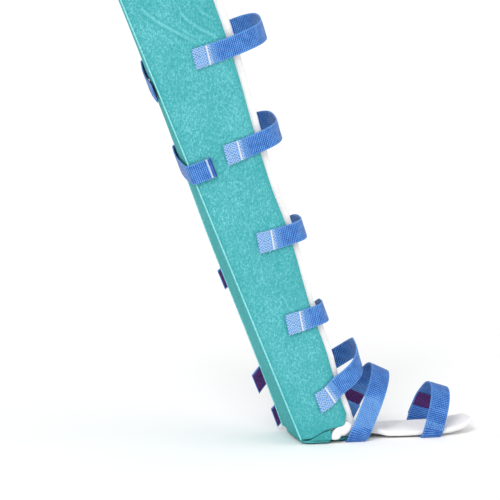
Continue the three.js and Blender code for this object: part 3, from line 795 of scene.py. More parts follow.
def side_panel(name, inner):
    """One side of the leg piece, from its corner seam to its front edge."""

    def place(u, v, sign):
        hem = level_at_height(hem_height(v), mix(0.0, depth_at(0), v))
        level = mix(hem, LEG_LENGTH, u)
        depth = depth_at(level)
        tall = LEG_LENGTH - hem
        full = rim(u * tall, PANEL_RIM) * rim((1 - u) * tall, PANEL_RIM)
        full *= rim((1 - v) * depth, FRONT_RIM)
        full *= mix(SEAM_FULLNESS, 1.0, rim(v * depth, SEAM_RIM))
        half = (PANEL_THICK / 2 - PAD_ROOM * ease(v * depth, 0.004, 0.012)) * full
        inset = PANEL_THICK / 2 + sign * half
        start = PIPING_RADIUS - PIPING_HUG + inset * SEAM_MITRE
        forward = mix(start, depth - 0.0006, v)
        across = bulge(forward / depth) + inset
        return leg_point(level, forward, mirrored(level, across, inner))

    def at_seam(point):
        level, forward, _ = leg_coords(point)
        depth = depth_at(level)
        hem = level_at_height(hem_height(forward / depth), forward)
        at_side = forward < SEAM_HOLD or forward > depth - EDGE_HOLD
        return at_side or level > LEG_LENGTH - EDGE_HOLD or level < hem + EDGE_HOLD

    rows = spaced(LEG_LENGTH, PANEL_STEP, PANEL_RIM)
    if not inner:
        low, high = FOLD_ROWS
        rows = sorted(rows + [(a + b) / 2 for a, b in zip(rows, rows[1:]) if low < a < high])
    columns = spaced(0.11, PANEL_STEP if inner else FOLD_STEP, FRONT_RIM)
    piece = pad(name, place, rows, columns, (TOP_DEPTH, LEG_LENGTH), at_seam)
    detail = panel_face(inner)

    def stand_out(level, forward, across):
        depth = depth_at(level)
        across = mirrored(level, across, inner)
        if across >= bulge(forward / depth) + PANEL_THICK / 2:
            return None
        edge = rim(LEG_LENGTH - level, 0.006) * rim(depth - forward, 0.005)
        return level, forward, mirrored(level, across - detail(level, forward) * edge, inner)

    reshape(piece, stand_out)

    def worn(point):
        level, forward, _ = leg_coords(point)
        share = forward / depth_at(level)
        # Painted shade: darker towards the curled front edge and beside the corner seam.
        dark = 0.4 * ease(share, 0.86, 1.0) + 0.2 * ease(0.12 - share, 0, 0.1)
        # Painted shade at the hem's lip, near the bottom.
        dark += 0.35 * ease(0.06 - level, 0, 0.06)
        # Darker towards the lower leg.
        dark += 0.1 * ease(0.5 - level, 0, 0.25)
        if inner:
            return dark
        # Painted shade beside the folds and puckers, painted highlight on their crests.
        high, shade = ridge(level, forward, WRINKLES + PUCKERS)
        return clamp(dark + 0.75 * shade - 0.85 * high / WRINKLE_HEIGHT, -0.85, 0.85)

    shade_attribute(piece, worn)
    return dress(piece, front_fabric, name)


def back_panel():
    """The strip of the leg piece between the two corner seams."""

    def place(u, v, sign):
        from_seam = min(v, 1 - v) * width_at(0)
        full = rim(u * LEG_LENGTH, HEEL_RIM) * rim((1 - u) * LEG_LENGTH, PANEL_RIM)
        full *= mix(SEAM_FULLNESS, 1.0, rim(from_seam, SEAM_RIM))
        half = PANEL_THICK / 2 - PAD_ROOM * ease(from_seam, 0.005, 0.014)
        inset = PANEL_THICK / 2 + sign * half * full
        forward = inset - BACK_CROWN * math.sin(math.pi * v)
        level = mix(level_at_height(HEEL_FLOOR, forward), LEG_LENGTH, u)
        start = PIPING_RADIUS - PIPING_HUG + inset * SEAM_MITRE
        return leg_point(level, forward, mix(start, width_at(level) - start, v))

    def at_seam(point):
        level, _, across = leg_coords(point)
        at_side = across < 0.007 or across > width_at(level) - 0.007
        return at_side or level > LEG_LENGTH - EDGE_HOLD or level < 0.012

    rows = spaced(LEG_LENGTH, 0.0068, PANEL_RIM)
    columns = spaced(0.15, 0.007, PANEL_RIM)
    piece = pad("back_panel", place, rows, columns, (TOP_WIDTH, LEG_LENGTH), at_seam)

    def stand_out(level, forward, across):
        if forward >= PANEL_THICK / 2 - BACK_CROWN * 0.5:
            return None
        slow = drift(level * 12, across * 16, 11.0)
        pucker = drift(level * 120, 9.0, 0.0)
        beside_seam = near(min(across, width_at(level) - across), 0.01)
        forward = forward - 0.0007 * slow - 0.0005 * pucker * beside_seam + 0.0006
        return level, forward, across

    reshape(piece, stand_out)
    shade_attribute(piece, lambda point: 0.0)
    return dress(piece, painted_shade_fabric, "back_panel")


def corner_piping(name, inner):
    """The corded seam at a back corner, with its fine twist."""
    seat = PIPING_ROOM / 2
    bottom = level_at_height(HEEL_FLOOR + PIPING_RADIUS, 0)
    turns, steps = 7, 420
    rings = []
    for i in range(steps + 1):
        share = i / steps
        level = mix(bottom, LEG_LENGTH, share)
        ahead, sideways = leg_axes(level)
        centre = leg_point(level, seat, mirrored(level, seat, inner))
        end = min(1, 0.5 + i / 2, 0.5 + (steps - i) / 2)
        ring = []
        for j in range(turns):
            angle = 2 * math.pi * j / turns
            cord = 1 + 0.06 * math.sin(angle * 2 + share * 900)
            cord += 0.04 * drift(share * 260, j * 0.6, 0)
            spoke = ahead * math.cos(angle) + sideways * math.sin(angle)
            ring.append(centre + spoke * (PIPING_RADIUS * cord * end))
        rings.append(ring)
    return dress(tube(name, rings, False), piping_cord, name)


# Lining and sole

def leg_lining():
    """The lining: a trough inside the panels that shows past their front edges."""
    half = LINING_THICK / 2
    inset = PANEL_INSET + half
    corner = half + 0.001

    def trough(level, share):
        """The lining's middle line at a level, with the way out of it: forward, across, out."""
        depth = depth_at(level)
        front = depth + band_at(level)
        width = width_at(level)
        inner = share > 0.5
        part = 1 - share if inner else share
        if part < SIDE_PART:
            forward = mix(front - 0.0008, inset + corner, part / SIDE_PART)
            beyond = ease(forward, depth - 0.003, depth + 0.006)
            across = bulge(forward / depth) + inset - 0.0035 * beyond
            out = (0.0, -1.0)
        elif part < CORNER_PART:
            angle = (part - SIDE_PART) / (CORNER_PART - SIDE_PART) * math.pi / 2
            forward = inset + corner - corner * math.sin(angle)
            across = inset + corner - corner * math.cos(angle)
            out = (-math.sin(angle), -math.cos(angle))
        else:
            run = (part - CORNER_PART) / (0.5 - CORNER_PART)
            across = mix(inset + corner, width / 2, run)
            forward = inset - BACK_CROWN * math.sin(math.pi * across / width)
            out = (-1.0, 0.0)
        if inner:
            return forward, width - across, (out[0], -out[1])
        return forward, across, out

    def place(u, v, sign):
        side = min(v, 1 - v) / SIDE_PART
        foot = mix(PANEL_INSET, depth_at(0) + band_at(0), clamp(1 - side))
        bottom = level_at_height(HEEL_FLOOR, foot)
        level = mix(bottom, LEG_LENGTH, u)
        tall = LEG_LENGTH - bottom
        forward, across, out = trough(level, v)
        front = depth_at(level) + band_at(level)
        full = rim(u * tall, LINING_RIM) * rim((1 - u) * tall, LINING_RIM)
        full *= rim(side * (front - inset), 0.0062)
        away = -sign * (half - PAD_ROOM) * full
        return leg_point(level, forward + out[0] * away, across + out[1] * away)

    def at_seam(point):
        level, forward, _ = leg_coords(point)
        at_front = forward > depth_at(level) + band_at(level) - 0.003
        return at_front or level > LEG_LENGTH - EDGE_HOLD or level < EDGE_HOLD

    edge = [0.0, 0.004, 0.012, 0.026, 0.044]
    sides = edge + [mix(0.044, SIDE_PART, i / 13) for i in range(1, 14)]
    sides += [0.41, 0.42, 0.43, CORNER_PART]
    back = [mix(CORNER_PART, 1 - CORNER_PART, i / 15) for i in range(1, 15)]
    columns = sides + back + [1 - x for x in reversed(sides)]
    rows = spaced(LEG_LENGTH, 0.008, LINING_RIM)
    piece = pad("leg_lining", place, rows, columns, (LINING_CUT, LEG_LENGTH), at_seam)

    def wavy_edge(level, forward, across):
        beyond = ease(forward, depth_at(level) - 0.001, depth_at(level) + 0.005)
        wave = 0.0014 * drift(level * 22, 4.0, 0.0 if across < 0.08 else 6.0)
        wave += 0.0006 * drift(level * 90, forward * 60, across * 40)
        return level, forward + wave * beyond, across

    reshape(piece, wavy_edge)
    return dress(piece, white_lining, "leg_lining")


def gusset_top(x):
    """The height of a gusset's upper edge, just under the side panel's hem."""
    height = HEEL_FLOOR
    for _ in range(8):
        forward = x * math.cos(LEAN) + height * math.sin(LEAN)
        height = hem_height(forward / depth_at(0)) - SOFT_GAP
    return height


def heel_gusset(name, inner):
    """The cloth below the side panel's hem, at the heel."""
    long = GUSSET_FRONT_X - GUSSET_BACK_X

    def place(u, v, sign):
        x = mix(GUSSET_BACK_X, GUSSET_FRONT_X, v)
        height = mix(HEEL_FLOOR, gusset_top(x), u)
        forward = x * math.cos(LEAN) + height * math.sin(LEAN)
        level = level_at_height(height, forward)
        full = rim(v * long, 0.002) * rim((1 - v) * long, 0.002)
        puff = 0.0008 * math.sin(math.pi * u) * full
        half = GUSSET_THICK / 2
        inset = GUSSET_RECESS + half + sign * (half + puff * 0.5) * full
        across = bulge(forward / depth_at(0)) + inset
        return leg_point(level, forward, mirrored(level, across, inner))

    rows = [0, 0.08, 0.2, 0.35, 0.5, 0.65, 0.8, 0.92, 1]
    columns = [i / 24 for i in range(25)]
    piece = skin(name, place, rows, columns)
    # Painted shade: the gusset, set back under the hem, is darkened a little more.
    shade_attribute(piece, lambda point: 0.15)
    return dress(piece, painted_shade_fabric, name)


def ankle_roll(name, inner):
    """The lining's rolled edge, from the floor up round the side panel's lower front corner."""
    points = []
    for across, rise in ROLL:
        forward = across * depth_at(0)
        level = level_at_height(HEEL_FLOOR + rise * HEM_RISE, forward)
        side = mirrored(level, bulge(across) + ROLL_RADIUS, inner)
        points.append(leg_point(level, forward, side))
    route = Route(points)
    turns, steps = 18, 40
    rings = []
    for i in range(steps + 1):
        share = i / steps
        outward = route.run(share).cross(SIDEWAYS).normalized()
        full = 0.15 + 0.85 * rim(min(share, 1 - share) * route.length, 0.004)
        ring = []
        for j in range(turns):
            angle = 2 * math.pi * j / turns
            crease = 1 - 0.08 * near(math.sin(angle / 2 + 0.6), 0.16)
            uneven = 1 + 0.05 * drift(share * 9, j * 0.7, 2)
            radius = ROLL_RADIUS * ROLL_FULLNESS * full * crease * uneven
            spoke = outward * math.cos(angle) + SIDEWAYS * ROLL_FLATNESS * math.sin(angle)
            ring.append(route.at(share) + spoke * radius)
        rings.append(ring)
    return dress(tube(name, rings, True), white_lining, name)


def outsole():
    """The flat cloth under the heel, narrower in front of the gussets."""
    heel_width = width_at(0)
    middle = STRAP_THICK + GAP + OUTSOLE_THICK / 2

    def place(u, v, sign):
        x = u * OUTSOLE_LENGTH
        cut = max(HEEL_ROUND - x, 0)
        corner = HEEL_ROUND - math.sqrt(max(HEEL_ROUND**2 - cut**2, 0))
        taper = ease(x, OUTSOLE_STEP_X - OUTSOLE_STEP_LENGTH, OUTSOLE_STEP_X)
        wide = mix(heel_width, OUTSOLE_FRONT_WIDTH, taper) / 2 - corner
        full = rim(x, OUTSOLE_RIM) * rim(OUTSOLE_LENGTH - x, OUTSOLE_RIM)
        full *= rim(min(v, 1 - v) * 2 * wide, OUTSOLE_RIM)
        across = heel_width / 2 + wide * mix(-1, 1, v)
        return Vector((x, across, middle + sign * OUTSOLE_THICK / 2 * full)) - SEAT

    rows = spaced(OUTSOLE_LENGTH, 0.003, OUTSOLE_RIM)
    columns = spaced(0.1, 0.005, OUTSOLE_RIM)
    piece = skin("outsole", place, rows, columns)
    # Painted light: the outsole lies in shadow and is lightened towards the fabric's light teal.
    shade_attribute(piece, lambda point: -0.35)
    return dress(piece, painted_shade_fabric, "outsole")


def sole_pad():
    """The white sole pad with its curled toe end."""
    start = (PANEL_INSET + LINING_THICK) / math.cos(LEAN) + GAP
    middle = width_at(0) / 2

    def half_width(share):
        return read(SOLE, "along", "wide", share) * SOLE_WIDTH / 2

    def place(u, v, sign):
        x = start + u * SOLE_LENGTH
        down = ease(x, OUTSOLE_LENGTH + SOLE_THICK, OUTSOLE_LENGTH + 3 * SOLE_THICK)
        base = mix(HEEL_FLOOR, STRAP_THICK + GAP, down)
        lift = read(SOLE, "along", "lift", u) * TOE_CURL
        wide = half_width(u)
        full = rim(u * SOLE_LENGTH, SOLE_RIM) * rim((1 - u) * SOLE_LENGTH, SOLE_RIM)
        full *= rim(min(v, 1 - v) * 2 * wide, SOLE_RIM)
        half = (SOLE_THICK / 2 - SOLE_ROOM) * full
        across = middle + (wide - SOLE_ROOM) * mix(-1, 1, v)
        return Vector((x, across, base + lift + SOLE_THICK / 2 + sign * half)) - SEAT

    def at_edge(point):
        spot = point + SEAT
        share = (spot.x - start) / SOLE_LENGTH
        at_side = abs(spot.y - middle) > half_width(share) - 0.003
        return at_side or share < 0.012 or share > 0.988

    rows = spaced(SOLE_LENGTH, 0.0045, SOLE_RIM)
    columns = spaced(0.09, 0.0045, SOLE_RIM)
    cut = (SOLE_WIDTH, SOLE_LENGTH)
    piece = pad("sole_pad", place, rows, columns, cut, at_edge, SOLE_SETTLE, 2.0)
    for vertex in piece.data.vertices:
        spot = vertex.co + SEAT
        vertex.co.z -= 0.0004 + 0.0006 * drift(spot.x * 26, spot.y * 26, 1)
    return dress(piece, white_lining, "sole_pad")


# Straps

def corner_share(strap):
    return 1.5 * CORNER_TURN / depth_at(strap["levels"][2] * LEG_LENGTH)


def strap_level(strap, along):
    sewn, front, tail = strap["levels"]
    if along < FRONT:
        t = (along - strap["start"]) / (FRONT - strap["start"])
        share = mix(sewn, front, mix(t, t * t, strap["climb"]))
    else:
        share = mix(front, tail, (along - FRONT) / (strap["end"] - FRONT))
    return share * LEG_LENGTH


def strap_route(strap, level, along, lift):
    """Forward and across of a strap's middle line at one level. along: 0 to 1 outer side,
    1 to 2 round the front, 2 to 3 inner side, 3 to 4 back, 4 to 5 outer side again."""
    depth, width, turn = depth_at(level), width_at(level), corner_share(strap)
    if along <= 1:
        return along * depth, bulge(along) - lift
    if along < 2:
        slope = (math.pi * SIDE_CROWN + 3 * EDGE_CURL) / depth
        reach = strap["reach"] * FRONT_REACH
        edge = bulge(1) - lift
        t = (along - 1) * 2 if along < FRONT else (2 - along) * 2
        bends = (
            (depth, edge),
            (depth + reach * 0.9, edge + slope * reach * 0.35),
            (depth + reach, mix(edge, width / 2, 0.4)),
            (depth + reach, width / 2),
        )
        weights = ((1 - t) ** 3, 3 * t * (1 - t) ** 2, 3 * t * t * (1 - t), t**3)
        forward = sum(w * b[0] for w, b in zip(weights, bends))
        across = sum(w * b[1] for w, b in zip(weights, bends))
        return forward, across if along < FRONT else width - across
    if not strap["wraps"] or along < 3 - turn:
        forward = (3 - along) * depth
        return forward, width - bulge(forward / depth) + lift

    def corner(share, outer):
        angle = share * math.pi / 2
        radius = CORNER_TURN + lift
        backward, sideways = math.sin(angle), math.cos(angle)
        if outer:
            backward, sideways = sideways, backward
        across = CORNER_TURN - radius * sideways
        return CORNER_TURN - radius * backward, across if outer else width - across

    if along < 3 + turn:
        return corner((along - 3 + turn) / (2 * turn), False)
    if along < 4 - turn:
        share = (along - 3 - turn) / (1 - 2 * turn)
        across = mix(width - CORNER_TURN, CORNER_TURN, share)
        return -lift - BACK_CROWN * math.sin(math.pi * share), across
    if along < 4 + turn:
        return corner((along - 4 + turn) / (2 * turn), True)
    return (along - 4) * depth, bulge(along - 4) - lift


def strap_stations(strap, start, end):
    """Where the strap's cross lines stand."""
    turn = corner_share(strap)
    stretches = (
        (1, 26), (2, 44), (3 - turn, 30), (3 + turn, 9), (4 - turn, 34), (4 + turn, 9), (5, 26),
    )
    places, begin = [start], 0.0
    for end_of, steps in stretches:
        places += [mix(begin, end_of, k / steps) for k in range(steps)]
        begin = end_of
    inside = [a for a in places if start + 0.004 < a < end - 0.004]
    return [start, start + 0.002, *inside, end - 0.002, end]


def strap_run(strap, level, along, lift):
    """How the strap's line moves on at one level, per unit of along."""
    before = strap_route(strap, level, along - RUN_STEP, lift)
    after = strap_route(strap, level, along + RUN_STEP, lift)
    return Vector((after[0] - before[0], after[1] - before[1])) / (2 * RUN_STEP)


def strap_point(strap, along, side, out, lift, width=STRAP_WIDTH):
    """A point of a strap. Its cross lines stand square to it on the outer side and the front."""
    middle = strap_level(strap, along)
    climb = strap_level(strap, along + RUN_STEP) - strap_level(strap, along - RUN_STEP)
    forward = strap_run(strap, middle, along, lift).length
    slope = math.atan2(climb / (2 * RUN_STEP), forward) * (1 - ease(along, SQUARE_UNTIL, FRONT))
    level = middle + side * width / 2 * math.cos(slope)
    back = side * width / 2 * math.sin(slope)
    for _ in range(SLIDE_STEPS):
        along -= back / SLIDE_STEPS / strap_run(strap, middle, along, lift).length
    here = strap_route(strap, level, along, lift)
    run = strap_run(strap, level, along, lift).normalized()
    return leg_point(level, here[0] + run.y * out, here[1] - run.x * out)


def strap_lift(along):
    """How far a leg strap stands off the panels: its tail lies over the hook tape."""
    return mix(SEWN_LIFT, TAIL_LIFT, ease(along, 2.02, 2.4))


def strip(name, point, places, thick, width):
    """Webbing or tape along its cross lines. point(place, side, out) is a point of it."""
    length = [0.0]
    for before, after in zip(places, places[1:]):
        length.append(length[-1] + (point(after, 0, 0) - point(before, 0, 0)).length)
    lengths = dict(zip(places, length))
    sides = [-1, -0.985, -0.93, -0.85, -0.6, -0.3, 0, 0.3, 0.6, 0.85, 0.93, 0.985, 1]

    def place(at, side, sign):
        flatness = 0.45 if abs(side) == 1 else 0.85 if abs(side) > 0.98 else 1.0
        ends = 0.5 if at in (places[0], places[-1]) else 1.0
        return point(at, side, -sign * thick / 2 * flatness * ends)

    def flat(at, side):
        return lengths[at], side * width / 2

    return skin(name, place, places, sides, flat)


def leg_strap(name, strap):
    """Webbing sewn to the outer panel, over the front and round the inner side."""

    def point(along, side, out):
        wave = 0.00012 * math.sin(along * 40 + side * 3)
        return strap_point(strap, along, side, out + wave, strap_lift(along))

    places = strap_stations(strap, strap["start"], strap["end"])
    piece = strip(f"strap_{name}", point, places, STRAP_THICK, STRAP_WIDTH)
    depth = depth_at(strap["levels"][0] * LEG_LENGTH)
    sewn_to = strap["start"] * depth + PATCH_LENGTH + SPARSE_LENGTH
    tail_end = (strap["end"] - 4) * depth

    def worn(point_of):
        level, forward, across = leg_coords(point_of)
        outer = across < width_at(level) * 0.3 and forward > strap["start"] * depth - 0.003
        beside = abs(level - strap_level(strap, clamp(forward / depth, 0, 1.2)))
        if outer and beside < 0.024:
            # The thread's tint over the sewn patch and the stitched rows past it.
            return 0.5 * (1 - ease(forward, sewn_to - 0.014, sewn_to + 0.004))
        if strap["wraps"] and across < 0 and tail_end > 0 and forward < tail_end + 0.002:
            # Painted shade: the last few millimetres of a wrapping strap's tail are darkened.
            return -0.85 * ease(forward, tail_end - 0.006, tail_end - 0.002)
        return 0.0

    shade_attribute(piece, worn)
    return dress(piece, blue_webbing, f"strap_{name}")


def leg_hook(name, strap):
    """The hook tape on the inner face of a leg strap's tail."""

    def point(along, side, out):
        return strap_point(strap, along, side, out, HOOK_LIFT, HOOK_WIDTH)

    places = strap_stations(strap, strap["hook"], strap["end"] - 0.01)
    piece = strip(f"hook_tape_{name}", point, places, HOOK_THICK, HOOK_WIDTH)
    return dress(piece, hook_tape, f"hook_tape_{name}")


class Route:
    """A smooth line through points, read by its share of the length."""

    def __init__(self, points, fine=40):
        self.line = []
        last = len(points) - 1
        for i in range(last):
            p1, p2 = points[i], points[i + 1]
            p0 = points[i - 1] if i else p1 * 2 - p2
            p3 = points[i + 2] if i + 2 <= last else p2 * 2 - p1
            pairs = ((p0, p1), (p1, p2), (p2, p3))
            d0, d1, d2 = (math.sqrt(max((b - a).length, 1e-6)) for a, b in pairs)
            m1 = ((p1 - p0) / d0 - (p2 - p0) / (d0 + d1) + (p2 - p1) / d1) * d1
            m2 = ((p2 - p1) / d1 - (p3 - p1) / (d1 + d2) + (p3 - p2) / d2) * d1
            for k in range(fine):
                t = k / fine
                h1, h2 = 2 * t**3 - 3 * t * t + 1, t**3 - 2 * t * t + t
                self.line.append(p1 * h1 + m1 * h2 + p2 * (1 - h1) + m2 * (t**3 - t * t))
        self.line.append(points[last])
        self.marks = [0.0]
        for a, b in zip(self.line, self.line[1:]):
            self.marks.append(self.marks[-1] + (b - a).length)
        self.length = self.marks[-1]

    def at(self, share):
        wanted = clamp(share) * self.length
        low, high = 0, len(self.marks) - 1
        while high - low > 1:
            mid = (low + high) // 2
            low, high = (mid, high) if self.marks[mid] <= wanted else (low, mid)
        span = self.marks[high] - self.marks[low]
        part = (wanted - self.marks[low]) / span if span else 0
        return self.line[low].lerp(self.line[high], part)

    def run(self, share):
        return (self.at(min(share + 0.004, 1)) - self.at(max(share - 0.004, 0))).normalized()


def foot_route(sizes, lap):
    """A foot strap's loop: from the inner side under the sole, over the foot and onto itself."""
    up = Vector((sizes["top"] - sizes["bottom"], 0, sizes["height"]))
    length = up.length
    up.normalize()
    middle = width_at(0) / 2
    half = (sizes["width"] - STRAP_THICK) / 2

    def place(wide, high):
        base = Vector((sizes["bottom"], middle + wide * half, STRAP_THICK / 2))
        return base + up * (high * (length - STRAP_THICK / 2))

    points = [place(*row) for row in reversed(FOOT_LOOP[:2])]
    points += [place(*row) for row in UNDER_SOLE]
    points += [place(-wide, high) for wide, high in FOOT_LOOP]
    points.append(place(0, 1))
    for wide, high in reversed(FOOT_LOOP):
        points.append(place(wide + clamp((0.8 - high) / 0.2) * lap / half, high))
    return Route(points), up


def foot_surface(sizes, width, push=0.0):
    """A foot strap's line, and the way to a point of the strap from it."""
    route, up = foot_route(sizes, STRAP_THICK + HOOK_THICK + 2 * STRAP_GAP)
    tilted = Vector((up.z, 0, -up.x))
    low = STRAP_THICK
    high = SOLE_THICK + HEEL_FLOOR

    def point(at, side, out):
        centre = route.at(at)
        wide = Vector((1, 0, 0)).lerp(tilted, ease(centre.z, low, high)).normalized()
        outward = wide.cross(route.run(at)).normalized()
        return centre + wide * (side * width / 2) + outward * (out + push) - SEAT

    return route, point


def foot_strip(name, sizes, start, thick, width, push, count):
    """A strip on a foot strap's line. A start below 0 is metres before the line's end."""
    route, point = foot_surface(sizes, width, push)
    first = start if start >= 0 else 1 + start / route.length
    places = [mix(first, 1, i / count) for i in range(count + 1)]
    return strip(name, point, places, thick, width)


def foot_strap(name, sizes, middle_band_tint):
    """A webbing loop round the sole and the foot."""
    piece = foot_strip(f"strap_{name}", sizes, 0, STRAP_THICK, STRAP_WIDTH, 0, 150)

    def worn(point):
        height = (point + SEAT).z
        # Painted shade under the sole and over the top of the foot; in the middle band the given
        # share sets it: above 0 the thread's tint where it is sewn, below 0 painted shade.
        return mix(-0.28, middle_band_tint, ease(height, 0.012, 0.028) * (1 - ease(height, 0.06, 0.085)))

    shade_attribute(piece, worn)
    return dress(piece, blue_webbing, f"strap_{name}")


def foot_hook(name, sizes):
    """The hook tape on the inner face of a foot strap's end."""
    push = -(STRAP_THICK + HOOK_THICK) / 2 - STRAP_GAP
    start = -(FOOT_STRAP_LAP - HOOK_MARGIN)
    piece = foot_strip(f"hook_tape_{name}", sizes, start, HOOK_THICK, HOOK_WIDTH, push, 16)
    return dress(piece, hook_tape, f"hook_tape_{name}")


# Stitches

def thread_tree(name, material):
    """Turns each short line of a mesh into a rounded length of thread."""
    tree = bpy.data.node_groups.new(name, "GeometryNodeTree")
    face = tree.interface
    face.new_socket(name="Geometry", in_out="INPUT", socket_type="NodeSocketGeometry")
    radius = face.new_socket(name="Thread radius", in_out="INPUT", socket_type="NodeSocketFloat")
    face.new_socket(name="Geometry", in_out="OUTPUT", socket_type="NodeSocketGeometry")
    start, curve, ring, sweep, real, paint, end = (
        tree.nodes.new(kind)
        for kind in (
            "NodeGroupInput",
            "GeometryNodeMeshToCurve",
            "GeometryNodeCurvePrimitiveCircle",
            "GeometryNodeCurveToMesh",
            "GeometryNodeRealizeInstances",
            "GeometryNodeSetMaterial",
            "NodeGroupOutput",
        )
    )
    ring.inputs["Resolution"].default_value = 5
    sweep.inputs["Fill Caps"].default_value = True
    paint.inputs["Material"].default_value = material
    link = tree.links.new
    link(start.outputs[0], curve.inputs[0])
    link(start.outputs[1], ring.inputs["Radius"])
    link(curve.outputs[0], sweep.inputs["Curve"])
    link(ring.outputs["Curve"], sweep.inputs["Profile Curve"])
    link(sweep.outputs[0], real.inputs[0])
    link(real.outputs[0], paint.inputs["Geometry"])
    link(paint.outputs[0], end.inputs[0])
    return tree, radius.identifier


THREADS = {
    "pale": (*thread_tree("pale_stitches", pale_thread), pale_thread),
    "soft": (*thread_tree("soft_stitches", soft_thread), soft_thread),
    "white": (*thread_tree("white_stitches", white_thread), white_thread),
}


def stitching(name, lines, thread, radius):
    """One piece of sewing: each line is a stitch, as three points."""
    tree, size, material = THREADS[thread]
    points = [p for line in lines for p in line]
    edges = []
    for i in range(len(lines)):
        edges += [(3 * i, 3 * i + 1), (3 * i + 1, 3 * i + 2)]
    mesh = bpy.data.meshes.new(name)
    mesh.from_pydata(points, edges, [])
    piece = add_object(name, mesh)
    modifier = piece.modifiers.new("thread", "NODES")
    modifier.node_group = tree
    modifier[size] = radius
    settle(piece)
    return dress(piece, material)


def zigzag(surface, start, end, reach, count):
    """Stitches that run to and fro between two places, all the way across the strap, a little
    unevenly. reach is how far across they go, as a share of the strap's half width."""
    turns = []
    for i in range(count + 1):
        sway = drift(start * 700, i * 1.7, reach) * 1.3 * reach / count
        turns.append(mix(-reach, reach, i / count) + sway)
    lines = []
    for i, (low, high) in enumerate(zip(turns, turns[1:])):
        a, b = (start, end) if i % 2 == 0 else (end, start)
        middle = surface((a + b) / 2, (low + high) / 2, THREAD_RISE)
        lines.append((surface(a, low, THREAD_DIP), middle, surface(b, high, THREAD_DIP)))
    return lines


def strap_face(strap, end, level, way):
    """Gives points on a leg strap's outer face, at a distance from one of its ends."""
    depth = depth_at(strap["levels"][level] * LEG_LENGTH)

    def surface(distance, side, above):
        along = strap[end] + way * distance / depth
        return strap_point(strap, along, side, STRAP_THICK / 2 + above, strap_lift(along))

    return surface


def strap_stitches(name, strap):
    """The hatched patch at a leg strap's sewn end, its white bar and the fading rows past it."""
    surface = strap_face(strap, "start", 0, 1)
    patch = []
    row = (PATCH_LENGTH - PATCH_TO_BAR) / PATCH_ROWS
    for i in range(PATCH_ROWS):
        start, end = PATCH_START + i * row, PATCH_START + (i + 1) * row
        patch += zigzag(surface, start, end, 1.03, PATCH_TURNS)
    sparse = PATCH_LENGTH + BAR_WIDTH
    step = (SPARSE_LENGTH - BAR_WIDTH) / 3
    patch += zigzag(surface, sparse, sparse + step, 1.0, PATCH_TURNS)
    stitching(f"stitches_{name}", patch, "pale", PATCH_THREAD)
    fading = zigzag(surface, sparse + step, sparse + 2 * step, 1.0, PATCH_TURNS)
    fading += zigzag(surface, sparse + 2 * step, sparse + 3 * step, 1.0, PATCH_TURNS)
    stitching(f"fading_stitches_{name}", fading, "soft", FADING_THREAD)
    bar = zigzag(surface, PATCH_LENGTH, PATCH_LENGTH + BAR_WIDTH, 0.98, 46)
    stitching(f"bar_tack_{name}", bar, "white", FINE_THREAD)


def foot_stitches(name, sizes, low, high, rows):
    """Hatched sewing on the outer side of a foot strap, between two heights."""
    route, point = foot_surface(sizes, STRAP_WIDTH)
    middle = width_at(0) / 2
    shares = [i / 400 for i in range(401)]
    outer = [s for s in shares if route.at(s).y < middle and low < route.at(s).z < high]
    first, last = outer[0] * route.length, outer[-1] * route.length

    def surface(distance, side, above):
        return point((first + distance) / route.length, side, STRAP_THICK / 2 + above)

    step = (last - first) / rows
    lines = []
    for i in range(rows):
        lines += zigzag(surface, i * step, (i + 1) * step, 0.94, 12)
    stitching(f"stitches_{name}", lines, "soft", FINE_THREAD)


def tail_stitches():
    """The white line across the knee strap's tail."""
    surface = strap_face(LEG_STRAPS["knee"], "end", 2, -1)
    bar = zigzag(surface, *TAIL_BAR, 0.97, 40)
    stitching("bar_tack_knee_tail", bar, "white", TAIL_THREAD)


side_panel("lateral_panel", False)
side_panel("medial_panel", True)
back_panel()
corner_piping("corner_piping_lateral", False)
corner_piping("corner_piping_medial", True)
leg_lining()
for inner, side in ((False, "lateral"), (True, "medial")):
    heel_gusset(f"heel_gusset_{side}", inner)
    ankle_roll(f"ankle_roll_{side}", inner)
outsole()
sole_pad()
for strap_name, strap_sizes in LEG_STRAPS.items():
    leg_strap(strap_name, strap_sizes)
    leg_hook(strap_name, strap_sizes)
    strap_stitches(strap_name, strap_sizes)
tail_stitches()
# The instep strap's band takes the thread's tint; the toe strap is darkened all over as painted
# shade.
foot_strap("instep", INSTEP, 0.3)
foot_strap("toe", TOE, -0.2)
foot_hook("instep", INSTEP)
foot_hook("toe", TOE)
foot_stitches("instep", INSTEP, 0.024, 0.066, 9)
foot_stitches("toe", TOE, 0.014, 0.024, 2)


# Floor, light and camera

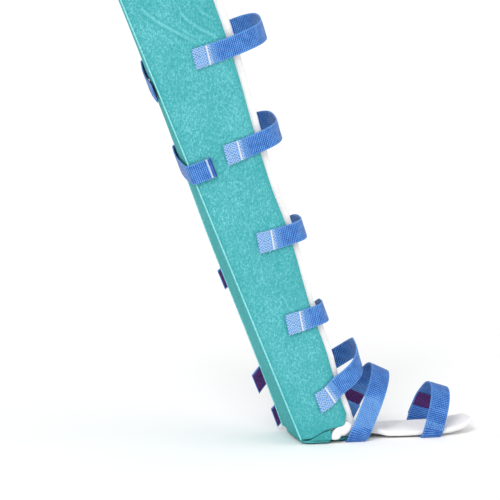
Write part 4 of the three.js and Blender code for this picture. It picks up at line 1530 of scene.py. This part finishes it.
def pale_floor():
    """A wide plain floor that the sole stands on."""
    half = 40.0
    mesh = bpy.data.meshes.new("floor")
    corners = [(x * half, y * half, -SEAT.z) for x, y in ((-1, -1), (1, -1), (1, 1), (-1, 1))]
    mesh.from_pydata(corners, [], [(0, 1, 2, 3)])
    floor = add_object("floor", mesh)
    look = Finish("pale_floor")
    look.set(Base_Color=(0.97, 0.97, 0.97, 1), Roughness=0.9, Specular_IOR_Level=0.1)
    mesh.materials.append(look.material)
    floor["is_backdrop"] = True


def studio_light():
    """A pale sky with a soft key light and a softer fill."""
    scene = bpy.context.scene
    world = bpy.data.worlds.new("studio")
    world.use_nodes = True
    sky = world.node_tree.nodes["Background"]
    sky.inputs["Color"].default_value = (1, 1, 1, 1)
    sky.inputs["Strength"].default_value = 0.72
    scene.world = world
    scene.view_settings.view_transform = "Standard"
    for name, strength, spread, turn in (
        ("key", 1.5, 30, (48, 0, -32)),
        ("fill", 0.35, 60, (60, 0, 50)),
    ):
        light = bpy.data.lights.new(name, "SUN")
        light.energy = strength
        light.angle = math.radians(spread)
        lamp = add_object(name, light)
        lamp.rotation_euler = tuple(math.radians(t) for t in turn)


def place_camera():
    """The photograph's view. The heel's back corner is at the pixel that heel_x and heel_y give."""
    azimuth, elevation = math.radians(-14), math.radians(10)
    distance, frame_width, photo_size = 12.0, 0.785, 500
    heel_x, heel_y = 303, 445.3
    scale = frame_width / photo_size
    level_back = math.cos(elevation)
    back = Vector(
        (math.sin(azimuth) * level_back, -math.cos(azimuth) * level_back, math.sin(elevation))
    )
    right = Vector((math.cos(azimuth), math.sin(azimuth), 0))
    up = back.cross(right)
    aim = -SEAT + right * ((photo_size / 2 - heel_x) * scale)
    aim += up * ((heel_y - photo_size / 2) * scale)
    camera = bpy.data.cameras.new("camera")
    camera.sensor_width = 36
    camera.lens = camera.sensor_width * distance / frame_width
    camera.clip_end = 200
    view = add_object("camera", camera)
    view.location = aim + back * distance
    view.rotation_mode = "QUATERNION"
    view.rotation_quaternion = (-back).to_track_quat("-Z", "Y")
    bpy.context.scene.camera = view


pale_floor()
studio_light()
place_camera()

boxes = [list(corner) for corner in (*cad_box, *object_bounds())]
